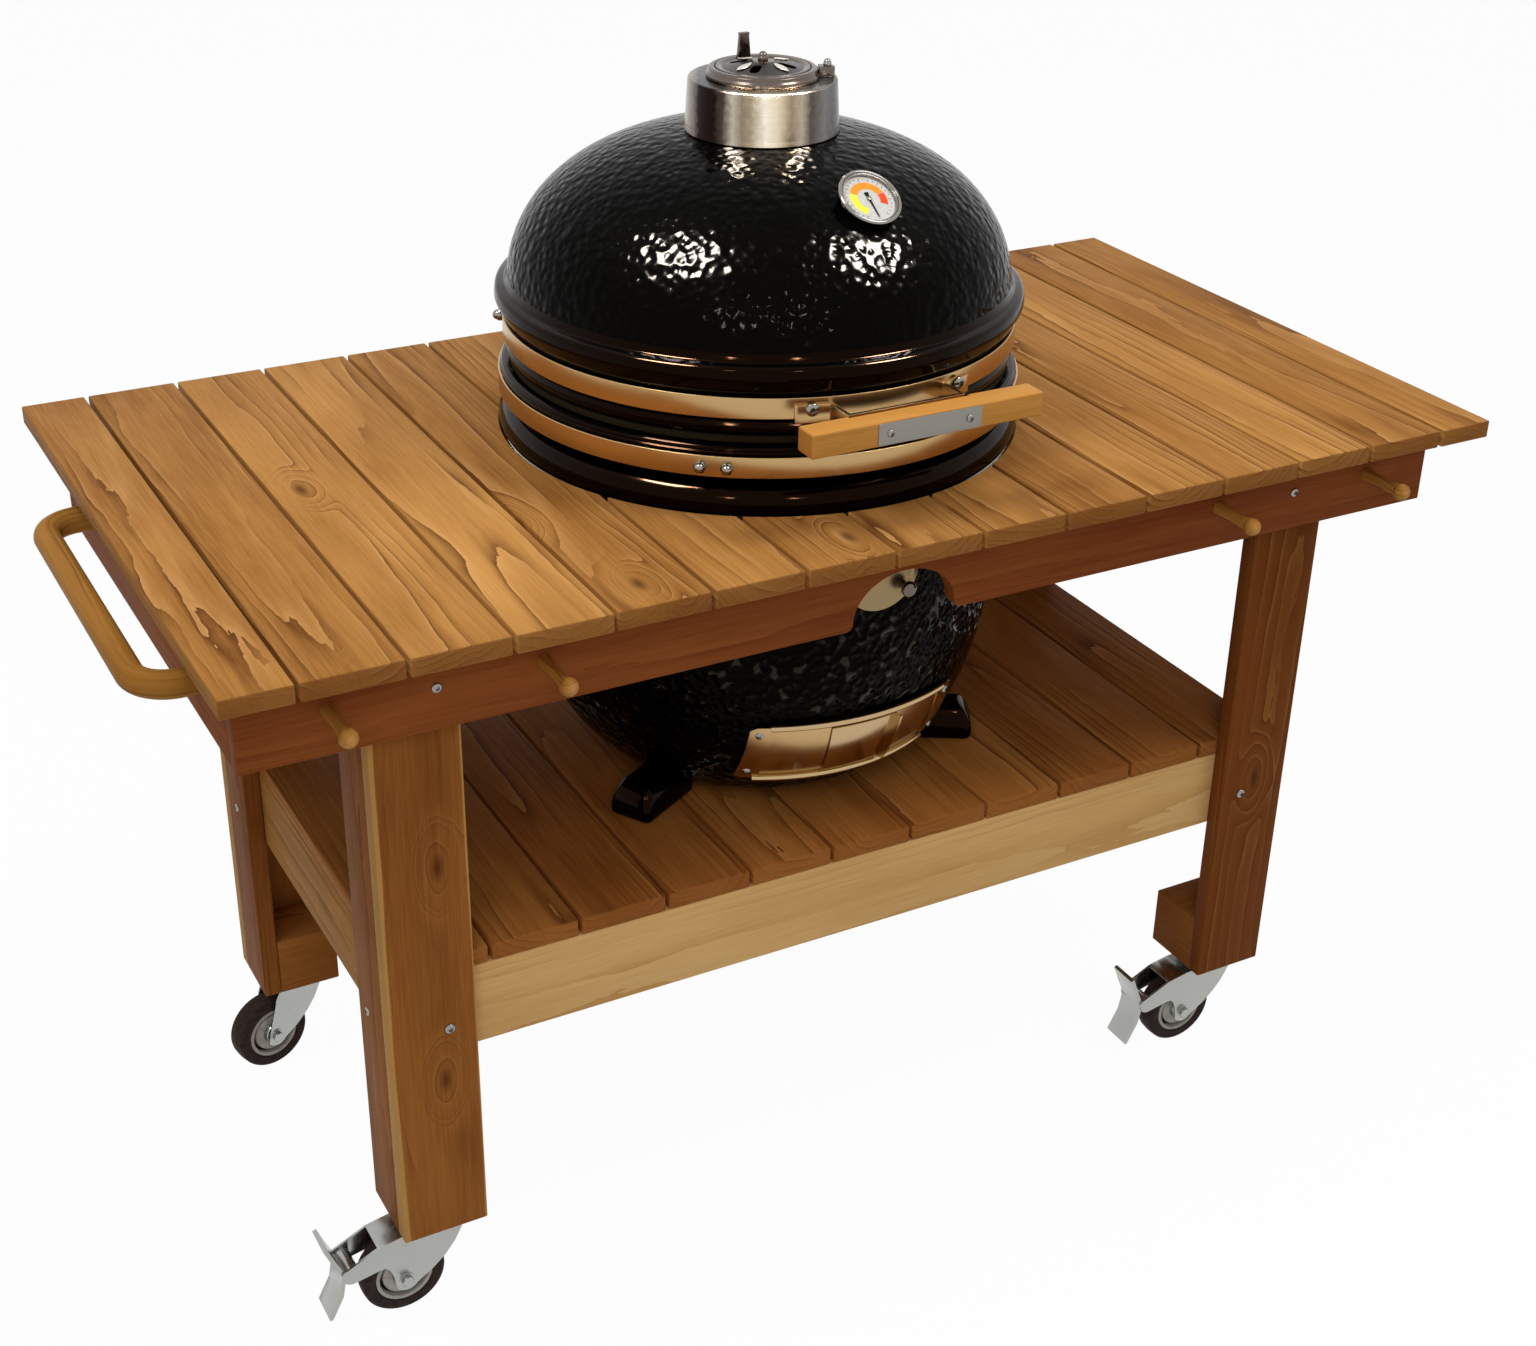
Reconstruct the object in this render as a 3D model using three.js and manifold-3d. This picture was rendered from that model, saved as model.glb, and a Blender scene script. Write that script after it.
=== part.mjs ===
// Kamado grill table: a slatted teak table on casters with a ceramic kamado cooker in its top.
// Millimetres, +Z up, front towards -Y. The origin is on the floor, under the middle of the
// bounding box. Angles round the cooker are in degrees from the front (-Y) towards +X.
import * as THREE from "three";
import { mergeVertices } from "three/addons/utils/BufferGeometryUtils.js";
import Module from "manifold-3d";

const wasm = await Module();
wasm.setup();

// Clearance between pieces that touch, and the overrun of every cut.
const seat = 0.3;
const overrun = 5;

// The top's depth follows from the hole for the cooker and the ledges before and behind it.
const top = {
  length: 1524,
  frontLedge: 104.5,
  backLedge: 86.5,
  thick: 20.8,
  boardWidth: 101,
  boardGap: 4.8,
  endLeast: 30,
  ease: 1.2,
};

const base = {
  stock: 21.5,
  frontClear: 30.9,
  backClear: 5.5,
  endInset: 27.4,
  apronHeight: 99,
  legInset: 161,
  legWidth: 98.3,
  legLength: 751.4,
  railHeight: 101,
  shelfHeight: 478,
  shelfThick: 21,
  blockHeight: 78,
  cleatWidth: 15,
  cleatHeight: 21,
  cleatBite: 2,
};

const notch = { half: 64, height: 59, flare: 8 };
const peg = { shaft: 15, ball: 20, reach: 60.6, placeShares: [-0.422, -0.276, 0.276, 0.422] };
const grip = { diameter: 26, shoulder: 30, shoulderLength: 12, reach: 58, span: 425, bend: 32 };

const caster = {
  height: 128,
  wheel: 100,
  wheelWidth: 32,
  trail: 42,
  plate: 76,
  plateThick: 3,
  race: 54,
  raceHeight: 10,
  sheet: 2.5,
  crown: 60,
  cheekGap: 3.5,
  axle: 12,
  boss: 30,
  hub: 62,
  hubRecess: 5,
  tyreShoulder: 5,
  hubBore: 26,
  arm: 24,
  pivotOut: 104,
  pivotHeight: 82,
  pedalThick: 5,
  pedalBoss: 18,
  pedalDrop: 55,
  pedalRise: 46,
  pedalLean: 28,
};

// The rims, the bands and the dome follow the bowl's radius: what stands proud of it, and what
// lies within it. Heights are from the table's top.
const bowlRadius = 287.5;
const proud = { rim: 9.9, lidRim: 3.1, bulge: 14, dome: 0.2, hinge: 37.5, handle: 53 };
const within = { gasket: 0.5, footReach: 13, footInner: 137.5, fire: 55.5, fireFloor: 137.5 };
const cooker = {
  holeClear: 13.5,
  bowlShoulder: -67.7,
  wall: 25,
  neck: -14,
  rimRadius: bowlRadius + proud.rim,
  rimLow: -5,
  rimTop: 76,
  rimGroove: 2,
  gasket: 9,
  gasketRadius: bowlRadius - within.gasket,
  gasketWidth: 24,
  lidRim: bowlRadius + proud.lidRim,
  lidBandLow: 105.7,
  bulgeRadius: bowlRadius + proud.bulge,
  bulgeHeight: 151,
  crease: 170,
  domeRadius: bowlRadius + proud.dome,
  domeCentre: 143.9,
  domeRise: 193.2,
  domeWall: 22,
  domeMouth: 55,
};
// The bowl's outline is a superellipse, cut flat at a share of its full depth.
const bowlPowerShare = 2.98;
const bowlFlatShare = 0.8939;
const domePowerShare = 2.35;

const band = { height: 23.4, thick: 2, low: 42 };
const hinge = {
  out: bowlRadius + proud.hinge,
  height: 96,
  pin: 10,
  eye: 11,
  lugSpread: 40,
  armSpread: 28,
  plate: 4,
};

const handle = {
  length: 280,
  shift: 9.8,
  deep: 30,
  high: 27,
  round: 4,
  endRound: 5,
  centreHeight: 108.5,
  centreOut: bowlRadius + proud.handle,
  strip: 4,
  stripHeight: 20,
  armSpread: 68.5,
  footAngle: 21,
};

const chimney = {
  baseRadius: 86.3,
  topRadius: 81.9,
  top: 389.6,
  wall: 2.5,
  mouth: 50,
};
const cap = {
  radius: 62.4,
  topRadius: 60,
  height: 11,
  rimWidth: 7,
  floor: 2.5,
  lugAngle: 66,
  lugOut: 70.5,
  lugRadius: 8.5,
  screw: 5.5,
};
const damper = {
  radius: 52,
  thick: 2,
  cone: 9,
  hub: 9,
  hubRise: 8,
  tabWidth: 16,
  tabThick: 5,
  tabRise: 30,
  tabOut: 45,
  slots: 4,
  slotIn: 17,
  slotOut: 38,
  slotWidth: 11,
};

const thermometer = {
  angle: 4.9,
  centreShare: 0.692,
  tilt: 7,
  stem: 2,
  stemRadius: 8,
  diameter: 71,
  deep: 12,
  bezel: 4,
  dialDepth: 7,
  needle: 24,
  needleWidth: 2.4,
  needleThick: 1.2,
};

const draft = {
  lift: 41,
  height: 89,
  halfAngle: 30,
  plateAngle: 5,
  sheet: 2,
  rail: 9,
  windowAngle: 16,
  doorAngle: 20,
  port: 62,
  flange: 11,
  slack: 0.6,
  steps: 3,
};

const port = {
  radius: 48,
  thick: 2.5,
  height: -84,
  knob: 18,
  knobReach: 17,
  knobOut: 36,
  knobAngle: 52,
};
const foot = {
  width: 64,
  height: 20.2,
  reach: bowlRadius - within.footReach,
  inner: bowlRadius - within.footInner,
  rise: 45,
  lip: 22,
  angles: [-60, 60, 180],
};
const fire = {
  radius: bowlRadius - within.fire,
  wall: 18,
  bottomRadius: bowlRadius - within.fireFloor,
  shoulderRise: 212,
  top: 22,
  mouthHeight: 55,
  mouthAngle: 16,
};
const grate = { inset: 4, ring: 8, bar: 6, bars: 11 };

// The angle at which a fork's cheek leaves its axle boss.
const cheekLean = 35;
// How far each caster is swivelled at rest.
const turns = { frontLeft: 0, frontRight: 0, backLeft: 14, backRight: 0 };

// Facets of the round pieces. The door's track has more, so that the door turns freely on it.
const track = 72;
const fine = 36;
const medium = 24;
const rough = 10;
const beadFacets = 6;

const tableHeight = caster.height + base.legLength + top.thick;
const boardUnderside = tableHeight - top.thick;
const weld = 1e-4;
const holeRadius = bowlRadius + cooker.holeClear;
const topDepth = top.frontLedge + 2 * holeRadius + top.backLedge;
const setback = (top.frontLedge - top.backLedge) / 2;
// The bowl hangs from the top's level down to its feet on the shelf.
const bowlBottom = base.shelfHeight - tableHeight + foot.height;
const bowlDeep = (cooker.bowlShoulder - bowlBottom) / bowlFlatShare;
const draftBottom = bowlBottom + draft.lift;
const draftTop = draftBottom + draft.height;

function rad(degrees) {
  return (degrees * Math.PI) / 180;
}

function solidOf(geometry) {
  const loose = geometry.index ? geometry.toNonIndexed() : geometry.clone();
  loose.deleteAttribute("normal");
  loose.deleteAttribute("uv");
  const merged = mergeVertices(loose, weld);
  const corners = merged.index.array;
  const kept = [];
  for (let i = 0; i < corners.length; i += 3) {
    const [a, b, c] = [corners[i], corners[i + 1], corners[i + 2]];
    if (a !== b && b !== c && c !== a) kept.push(a, b, c);
  }
  return new wasm.Manifold(
    new wasm.Mesh({
      numProp: 3,
      vertProperties: new Float32Array(merged.attributes.position.array),
      triVerts: new Uint32Array(kept),
    }),
  );
}

function geometryOf(solid) {
  const mesh = solid.getMesh();
  return new THREE.BufferGeometry()
    .setAttribute("position", new THREE.BufferAttribute(mesh.vertProperties, 3))
    .setIndex(new THREE.BufferAttribute(mesh.triVerts, 1));
}

function join(first, ...others) {
  return geometryOf(others.reduce((sum, g) => sum.add(solidOf(g)), solidOf(first)));
}

function cut(first, ...others) {
  return geometryOf(others.reduce((rest, g) => rest.subtract(solidOf(g)), solidOf(first)));
}

function common(first, second) {
  return geometryOf(solidOf(first).intersect(solidOf(second)));
}

// The outline's two axes and the direction of the extrusion, for each axis that a prism runs along.
const unit = {
  x: new THREE.Vector3(1, 0, 0),
  y: new THREE.Vector3(0, 1, 0),
  z: new THREE.Vector3(0, 0, 1),
};
const prismAxes = {
  x: [unit.y, unit.z, unit.x],
  y: [unit.x, unit.z, unit.y.clone().negate()],
  z: [unit.x, unit.y, unit.z],
};

function shapeOf(points) {
  return new THREE.Shape(points.map(([u, v]) => new THREE.Vector2(u, v)));
}

// An outline extruded along an axis. Along x the outline is in (y, z), along y in (x, z).
function prism(shape, axis, [low, high], options = {}) {
  const start = axis === "y" ? -high : low;
  return new THREE.ExtrudeGeometry(shape, {
    depth: high - low,
    bevelEnabled: false,
    curveSegments: 6,
    ...options,
  })
    .translate(0, 0, start)
    .applyMatrix4(new THREE.Matrix4().makeBasis(...prismAxes[axis]));
}

function box([x0, x1], [y0, y1], [z0, z1]) {
  return new THREE.BoxGeometry(x1 - x0, y1 - y0, z1 - z0).translate(
    (x0 + x1) / 2,
    (y0 + y1) / 2,
    (z0 + z1) / 2,
  );
}

// A sawn board with its long edges eased.
function board(spanX, spanY, spanZ, axis) {
  const [u, v] = { x: [spanY, spanZ], y: [spanX, spanZ], z: [spanX, spanY] }[axis];
  const run = { x: spanX, y: spanY, z: spanZ }[axis];
  const e = top.ease;
  const outline = [
    [u[0] + e, v[0]],
    [u[1] - e, v[0]],
    [u[1], v[0] + e],
    [u[1], v[1] - e],
    [u[1] - e, v[1]],
    [u[0] + e, v[1]],
    [u[0], v[1] - e],
    [u[0], v[0] + e],
  ];
  return prism(shapeOf(outline), axis, run);
}

// A closed profile of [radius, height] turned round the vertical axis, with a corner at the front.
function revolve(profile, sides) {
  const points = profile.map(([r, z]) => new THREE.Vector2(r, z));
  if (THREE.ShapeUtils.isClockWise(points)) points.reverse();
  points.push(points[0].clone());
  return new THREE.LatheGeometry(points, sides).rotateX(Math.PI / 2);
}

function cylinder(radius, [low, high], sides) {
  return revolve(
    [
      [0, low],
      [radius, low],
      [radius, high],
      [0, high],
    ],
    sides,
  );
}

// A cylinder along X or Y through a point.
function rod(radius, axis, [low, high], sides) {
  const upright = cylinder(radius, [low, high], sides);
  return axis === "x" ? upright.rotateY(Math.PI / 2) : upright.rotateX(-Math.PI / 2);
}

// The outline of a strip of sheet that follows a bent line.
function stripShape(line, thickness) {
  const points = line.map(([u, v]) => new THREE.Vector2(u, v));
  const normals = points.map((p, i) => {
    const before = points[Math.max(i - 1, 0)];
    const after = points[Math.min(i + 1, points.length - 1)];
    const along = after.clone().sub(before).normalize();
    return new THREE.Vector2(-along.y, along.x).multiplyScalar(thickness / 2);
  });
  const left = points.map((p, i) => p.clone().add(normals[i]));
  const right = points.map((p, i) => p.clone().sub(normals[i])).reverse();
  return new THREE.Shape([...left, ...right]);
}

// A wedge round the cooker's axis between two angles, to cut sectors out of rings.
function wedge(from, to, radius, span) {
  const reach = radius / Math.cos(rad((to - from) / 2));
  const corner = (angle) => [reach * Math.sin(rad(angle)), -reach * Math.cos(rad(angle))];
  const middle = (from + to) / 2;
  return prism(shapeOf([[0, 0], corner(from), corner(middle), corner(to)]), "z", span);
}

const look = (color, roughness, metalness = 0) =>
  new THREE.MeshStandardMaterial({ color, roughness, metalness });
const materials = {
  teak: look(0xb07b43, 0.55),
  teakDark: look(0x8b5a2b, 0.55),
  teakPale: look(0xc98f4b, 0.5),
  glaze: look(0x0a0a0a, 0.12),
  stainless: look(0xb9b2a8, 0.32, 1),
  zinc: look(0xc9c8c0, 0.35, 1),
  tyre: look(0x3a2e2b, 0.7),
  felt: look(0x2a2622, 0.95),
  iron: look(0x2c2c2c, 0.7, 0.6),
  clay: look(0xb9a58a, 0.9),
  dial: look(0xd6d3cc, 0.4, 0.6),
  needle: look(0x111111, 0.5),
};

function add(parent, name, geometry, material) {
  const mesh = new THREE.Mesh(geometry, materials[material]);
  mesh.name = name;
  parent.add(mesh);
  return mesh;
}

const halfLength = top.length / 2;
const halfDepth = topDepth / 2;
const pitch = top.boardWidth + top.boardGap;
// One board lies on the middle, as many full ones as fit on each side, and the rest is an end board.
const sideBoards = Math.floor((halfLength - top.boardWidth / 2 - top.endLeast) / pitch);
const fullBoards = 2 * sideBoards + 1;
const boardCount = fullBoards + 2;
const endWidth = (top.length - fullBoards * pitch - top.boardGap) / 2;

function boardSpan(i) {
  if (i === 0) return [-halfLength, -halfLength + endWidth];
  if (i === boardCount - 1) return [halfLength - endWidth, halfLength];
  const start = -halfLength + endWidth + top.boardGap + (i - 1) * pitch;
  return [start, start + top.boardWidth];
}

// The faces of the frame under the top.
const frontInner = setback - bowlRadius - base.frontClear;
const backInner = setback + bowlRadius + base.backClear;
const frontFace = frontInner - base.stock;
const backFace = backInner + base.stock;
const endFace = halfLength - base.endInset;
const legOuter = halfLength - base.legInset;
const legFront = frontInner + seat;
const legBack = backInner - seat;
const railEnd = legOuter - base.stock - seat;
const railFront = legFront + base.stock + seat;
const railBack = legBack - base.stock - seat;

function addTop(table) {
  const spanZ = [boardUnderside, tableHeight];
  const hole = cylinder(holeRadius, [boardUnderside - overrun, tableHeight + overrun], fine);
  hole.translate(0, setback, 0);
  const cleatZ = [boardUnderside - base.cleatHeight, boardUnderside + base.cleatBite];
  const short = { front: [], back: [] };
  const ends = [];
  for (let i = 0; i < boardCount; i++) {
    const spanX = boardSpan(i);
    const far = Math.max(Math.abs(spanX[0]), Math.abs(spanX[1]));
    if (far < holeRadius) {
      short.front.push(cut(board(spanX, [-halfDepth, setback], spanZ, "y"), hole));
      short.back.push(cut(board(spanX, [setback, halfDepth], spanZ, "y"), hole));
      ends.push(...spanX);
      continue;
    }
    const whole = board(spanX, [-halfDepth, halfDepth], spanZ, "y");
    const name = "top_board_" + String(i + 1).padStart(2, "0");
    add(table, name, cut(whole, hole), "teak");
  }
  // The short boards in front of and behind the hole are screwed to a cleat each.
  const spanX = [Math.min(...ends), Math.max(...ends)];
  const frontY = [frontInner + seat, frontInner + seat + base.cleatWidth];
  const backY = [backFace + seat, backFace + seat + base.cleatWidth];
  add(table, "top_front_boards", join(box(spanX, frontY, cleatZ), ...short.front), "teak");
  add(table, "top_back_boards", join(box(spanX, backY, cleatZ), ...short.back), "teak");
}

function apronShape() {
  const low = boardUnderside - seat - base.apronHeight;
  const high = boardUnderside - seat;
  const shape = new THREE.Shape();
  shape.moveTo(-endFace, low);
  shape.lineTo(-notch.half - notch.flare, low);
  // The arch starts with a small flare, rises as half an ellipse, and ends with the other flare.
  shape.quadraticCurveTo(-notch.half, low, -notch.half, low + notch.flare);
  shape.absellipse(
    0,
    low + notch.flare,
    notch.half,
    notch.height - notch.flare,
    Math.PI,
    0,
    true,
  );
  shape.quadraticCurveTo(notch.half, low, notch.half + notch.flare, low);
  shape.lineTo(endFace, low);
  shape.lineTo(endFace, high);
  shape.lineTo(-endFace, high);
  return shape;
}

function addAprons(table) {
  const spanZ = [boardUnderside - seat - base.apronHeight, boardUnderside - seat];
  const middle = (spanZ[0] + spanZ[1]) / 2;
  const face = prism(apronShape(), "y", [frontFace, frontInner], { curveSegments: rough });
  const pegs = peg.placeShares.flatMap((share) => {
    const x = share * top.length;
    const shaft = rod(peg.shaft / 2, "y", [frontFace - peg.reach, frontFace + base.stock / 2], rough);
    const ball = new THREE.SphereGeometry(peg.ball / 2, rough, beadFacets);
    return [shaft.translate(x, 0, middle), ball.translate(x, frontFace - peg.reach, middle)];
  });
  add(table, "front_apron", join(face, ...pegs), "teakDark");
  add(table, "back_apron", board([-endFace, endFace], [backInner, backFace], spanZ, "x"), "teakDark");
  const spanY = [frontInner + seat, backInner - seat];
  const left = [-endFace, -endFace + base.stock];
  const right = [endFace - base.stock, endFace];
  add(table, "left_apron", board(left, spanY, spanZ, "y"), "teakDark");
  add(table, "right_apron", board(right, spanY, spanZ, "y"), "teakDark");
}

// One leg: a broad board to the front or back, a side board behind it and a block in its foot.
function legGeometry(sideX, sideY) {
  const outer = sideX * legOuter;
  const face = sideY < 0 ? legFront : legBack;
  const inX = -sideX;
  const inY = -sideY;
  const at = (u, v) => [outer + inX * u, face + inY * v];
  const { stock, legWidth } = base;
  const corner = [
    at(0, 0),
    at(legWidth, 0),
    at(legWidth, stock),
    at(stock, stock),
    at(stock, legWidth),
    at(0, legWidth),
  ];
  const spanZ = [caster.height, boardUnderside - seat];
  const bite = stock / 2;
  const [x0, y0] = at(bite, bite);
  const [x1, y1] = at(legWidth, legWidth);
  const block = box(
    [Math.min(x0, x1), Math.max(x0, x1)],
    [Math.min(y0, y1), Math.max(y0, y1)],
    [caster.height, caster.height + base.blockHeight],
  );
  return join(prism(shapeOf(corner), "z", spanZ), block);
}

const corners = {
  frontLeft: [-1, -1],
  frontRight: [1, -1],
  backLeft: [-1, 1],
  backRight: [1, 1],
};
const cornerNames = {
  frontLeft: "front_left",
  frontRight: "front_right",
  backLeft: "back_left",
  backRight: "back_right",
};

function addLegs(table) {
  for (const [key, [sideX, sideY]] of Object.entries(corners)) {
    add(table, cornerNames[key] + "_leg", legGeometry(sideX, sideY), "teakDark");
  }
}

function addShelf(table) {
  const { stock, railHeight, shelfHeight, shelfThick } = base;
  const railTop = shelfHeight - shelfThick - seat;
  const spanZ = [railTop - railHeight, railTop];
  const spanX = [-railEnd, railEnd];
  const frontY = [railFront, railFront + stock];
  const backY = [railBack - stock, railBack];
  const sideY = [frontY[1] + seat, backY[0] - seat];
  add(table, "front_rail", board(spanX, frontY, spanZ, "x"), "teakPale");
  add(table, "back_rail", board(spanX, backY, spanZ, "x"), "teakPale");
  add(table, "left_rail", board([-railEnd, -railEnd + stock], sideY, spanZ, "y"), "teakPale");
  add(table, "right_rail", board([railEnd - stock, railEnd], sideY, spanZ, "y"), "teakPale");

  const shelfBoards = Math.round((2 * railEnd + top.boardGap) / pitch);
  const shelfWidth = (2 * railEnd - (shelfBoards - 1) * top.boardGap) / shelfBoards;
  const boards = [];
  for (let i = 0; i < shelfBoards; i++) {
    const start = -railEnd + i * (shelfWidth + top.boardGap);
    const span = [start, start + shelfWidth];
    boards.push(box(span, [railFront, railBack], [shelfHeight - shelfThick, shelfHeight]));
  }
  const cleatZ = [railTop - base.cleatHeight, shelfHeight - shelfThick + base.cleatBite];
  const cleatX = [-railEnd + stock + seat, railEnd - stock - seat];
  const cleats = [
    box(cleatX, [sideY[0], sideY[0] + stock], cleatZ),
    box(cleatX, [sideY[1] - stock, sideY[1]], cleatZ),
  ];
  add(table, "shelf_deck", join(...cleats, ...boards), "teak");
}

// A round bar through stations of [x, y, direction, radius] in the horizontal plane.
function bentBar(stations, sides) {
  const positions = [];
  const index = [];
  for (const [x, y, direction, radius] of stations) {
    for (let i = 0; i < sides; i++) {
      const angle = (2 * Math.PI * i) / sides;
      const across = radius * Math.cos(angle);
      positions.push(
        x - across * Math.sin(direction),
        y + across * Math.cos(direction),
        radius * Math.sin(angle),
      );
    }
  }
  const last = (stations.length - 1) * sides;
  for (let s = 0; s < last; s += sides) {
    for (let i = 0; i < sides; i++) {
      const next = (i + 1) % sides;
      const [a, b, c, d] = [s + i, s + next, s + sides + i, s + sides + next];
      index.push(a, b, c, b, d, c);
    }
  }
  for (let i = 1; i < sides - 1; i++) {
    index.push(0, i + 1, i, last, last + i, last + i + 1);
  }
  return new THREE.BufferGeometry()
    .setAttribute("position", new THREE.Float32BufferAttribute(positions, 3))
    .setIndex(index);
}

// The push handle: a bar parallel to the end apron, bent in to a shouldered stub at each end.
function addGrip(table) {
  const radius = grip.diameter / 2;
  const start = -endFace - seat;
  const out = grip.reach - grip.bend;
  const half = grip.span / 2;
  const middleY = (frontFace + backFace) / 2;
  const z = boardUnderside - seat - base.apronHeight / 2;
  const steps = 5;
  const near = [
    [0, -half, Math.PI, grip.shoulder / 2],
    [-grip.shoulderLength, -half, Math.PI, grip.shoulder / 2],
    [-grip.shoulderLength, -half, Math.PI, radius],
  ];
  for (let i = 0; i <= steps; i++) {
    const angle = (Math.PI * i) / (2 * steps);
    const x = -out - grip.bend * Math.sin(angle);
    const y = -half + grip.bend * (1 - Math.cos(angle));
    near.push([x, y, Math.PI - angle, radius]);
  }
  const far = near.map(([x, y, direction, r]) => [x, -y, Math.PI - direction, r]).reverse();
  const bar = bentBar([...near, ...far], rough);
  add(table, "end_handle", bar.translate(start, middleY, z), "teakPale");
}

const wheelRadius = caster.wheel / 2;
const raceLow = caster.height - seat - caster.plateThick - caster.raceHeight;
const crownTop = raceLow - seat;
const cheekInner = caster.wheelWidth / 2 + caster.cheekGap;
const cheekOuter = cheekInner + caster.sheet;

function cheekShape(braked) {
  const { trail, boss, crown, arm, pivotOut, pivotHeight } = caster;
  const shape = new THREE.Shape();
  const front = crown / 2 - caster.sheet;
  const bossRadius = boss / 2;
  const lean = rad(cheekLean);
  shape.moveTo(front, crownTop);
  shape.lineTo(front, crownTop - arm / 2);
  shape.quadraticCurveTo(
    front - bossRadius,
    wheelRadius + bossRadius,
    -trail + bossRadius * Math.cos(lean),
    wheelRadius - bossRadius * Math.sin(lean),
  );
  shape.absarc(-trail, wheelRadius, bossRadius, -lean, -Math.PI + lean, true);
  if (braked) {
    // The curved cut-out over the wheel, and the arm that carries the pedal's pivot.
    const armRadius = arm / 2;
    shape.quadraticCurveTo(
      -trail - bossRadius,
      pivotHeight,
      -(trail + pivotOut) / 2,
      pivotHeight - armRadius / 2,
    );
    shape.lineTo(-pivotOut, pivotHeight - armRadius);
    shape.absarc(-pivotOut, pivotHeight, armRadius, -Math.PI / 2, -Math.PI - lean, true);
    shape.lineTo(-(trail + pivotOut) / 2, crownTop - armRadius / 2);
    shape.lineTo(-trail, crownTop);
  } else {
    shape.quadraticCurveTo(
      -trail - bossRadius / 2,
      wheelRadius + bossRadius,
      -crown / 2 - bossRadius / 2,
      crownTop - arm / 2,
    );
    shape.lineTo(-crown / 2, crownTop);
  }
  return shape;
}

function forkGeometry(braked) {
  const { trail, crown, sheet, pivotOut, arm } = caster;
  const spanZ = [crownTop - sheet, crownTop];
  const back = braked ? -(trail + pivotOut) / 2 : -crown / 2;
  const crownPlate = box([back, crown / 2 - sheet], [-cheekOuter, cheekOuter], spanZ);
  const disc = cylinder(caster.race / 2, spanZ, medium);
  const cheeks = [
    prism(cheekShape(braked), "y", [-cheekOuter, -cheekInner], { curveSegments: 4 }),
    prism(cheekShape(braked), "y", [cheekInner, cheekOuter], { curveSegments: 4 }),
  ];
  const axle = rod(caster.axle / 2, "y", [-cheekOuter, cheekOuter], rough);
  axle.translate(-trail, 0, wheelRadius);
  const pieces = [disc, ...cheeks, axle];
  if (braked) {
    // The cover over the wheel slopes down to the arm.
    const line = [
      [back, crownTop - arm / 4 - sheet / 2],
      [-trail, crownTop - sheet / 2],
    ];
    const cover = prism(stripShape(line, sheet), "y", [-cheekOuter, cheekOuter]);
    const flat = box([-trail, crown / 2 - sheet], [-cheekOuter, cheekOuter], spanZ);
    pieces.push(cover, flat);
  } else {
    pieces.push(crownPlate);
  }
  return join(...pieces);
}

// The tyre, its hub and bearing ring as one revolve about the axle.
function wheelGeometry() {
  const half = caster.wheelWidth / 2;
  const { hub, hubRecess, tyreShoulder, hubBore, axle } = caster;
  const bore = axle / 2 + seat;
  const side = [
    [bore, half + caster.cheekGap / 2],
    [hubBore / 2, half + caster.cheekGap / 2],
    [hub / 2, half - hubRecess],
    [wheelRadius - tyreShoulder, half],
    [wheelRadius, half - tyreShoulder],
  ];
  const other = side.map(([r, y]) => [r, -y]).reverse();
  return revolve([...side, ...other], medium).rotateX(-Math.PI / 2);
}

function pedalGeometry() {
  const { pedalThick, pedalBoss, pedalDrop, pedalRise, pedalLean } = caster;
  const width = cheekInner - seat;
  const line = [
    [-pedalLean, pedalRise],
    [-pedalLean / 2 - pedalThick, pedalRise / 2],
    [-pedalBoss / 2, 0],
    [-pedalLean / 2, -pedalDrop / 2],
    [-pedalLean, -pedalDrop],
  ];
  const lever = prism(stripShape(line, pedalThick), "y", [-width, width]);
  const boss = rod(pedalBoss / 2, "y", [-width, width], rough);
  const tip = rod(pedalThick / 2, "y", [-width, width], rough);
  tip.translate(-pedalLean, 0, -pedalDrop);
  return join(lever, boss, tip);
}

function addCasters(table) {
  for (const [key, [sideX, sideY]] of Object.entries(corners)) {
    const stand = new THREE.Group();
    const middle = base.legWidth / 2;
    const face = sideY < 0 ? legFront : legBack;
    stand.position.set(sideX * (legOuter - middle), face - sideY * middle, 0);
    table.add(stand);
    const name = cornerNames[key];
    const half = caster.plate / 2;
    const plateTop = caster.height - seat;
    const plateLow = plateTop - caster.plateThick;
    const plate = join(
      box([-half, half], [-half, half], [plateLow, plateTop]),
      cylinder(caster.race / 2, [raceLow, plateLow + caster.plateThick / 2], medium),
    );
    add(stand, name + "_caster_plate", plate, "zinc");

    const swivel = new THREE.Group();
    swivel.rotation.z = rad(turns[key]);
    stand.add(swivel);
    const braked = sideY < 0;
    add(swivel, name + "_fork", forkGeometry(braked), "zinc");
    const wheel = add(swivel, name + "_wheel", wheelGeometry(), "tyre");
    wheel.position.set(-caster.trail, 0, wheelRadius);
    if (braked) {
      const pedal = add(swivel, name + "_pedal", pedalGeometry(), "zinc");
      pedal.position.set(-caster.pivotOut, 0, caster.pivotHeight);
    }
  }
}

// Heights here are from the table's top face.

function bowlRadiusAt(z, inset) {
  const deep = (cooker.bowlShoulder - z) / (bowlDeep - inset);
  const share = 1 - Math.max(deep, 0) ** bowlPowerShare;
  return (bowlRadius - inset) * share ** (1 / bowlPowerShare);
}

function domeHeightAt(r, inset) {
  const share = 1 - (r / (cooker.domeRadius - inset)) ** domePowerShare;
  return cooker.domeCentre + (cooker.domeRise - inset) * share ** (1 / domePowerShare);
}

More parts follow.
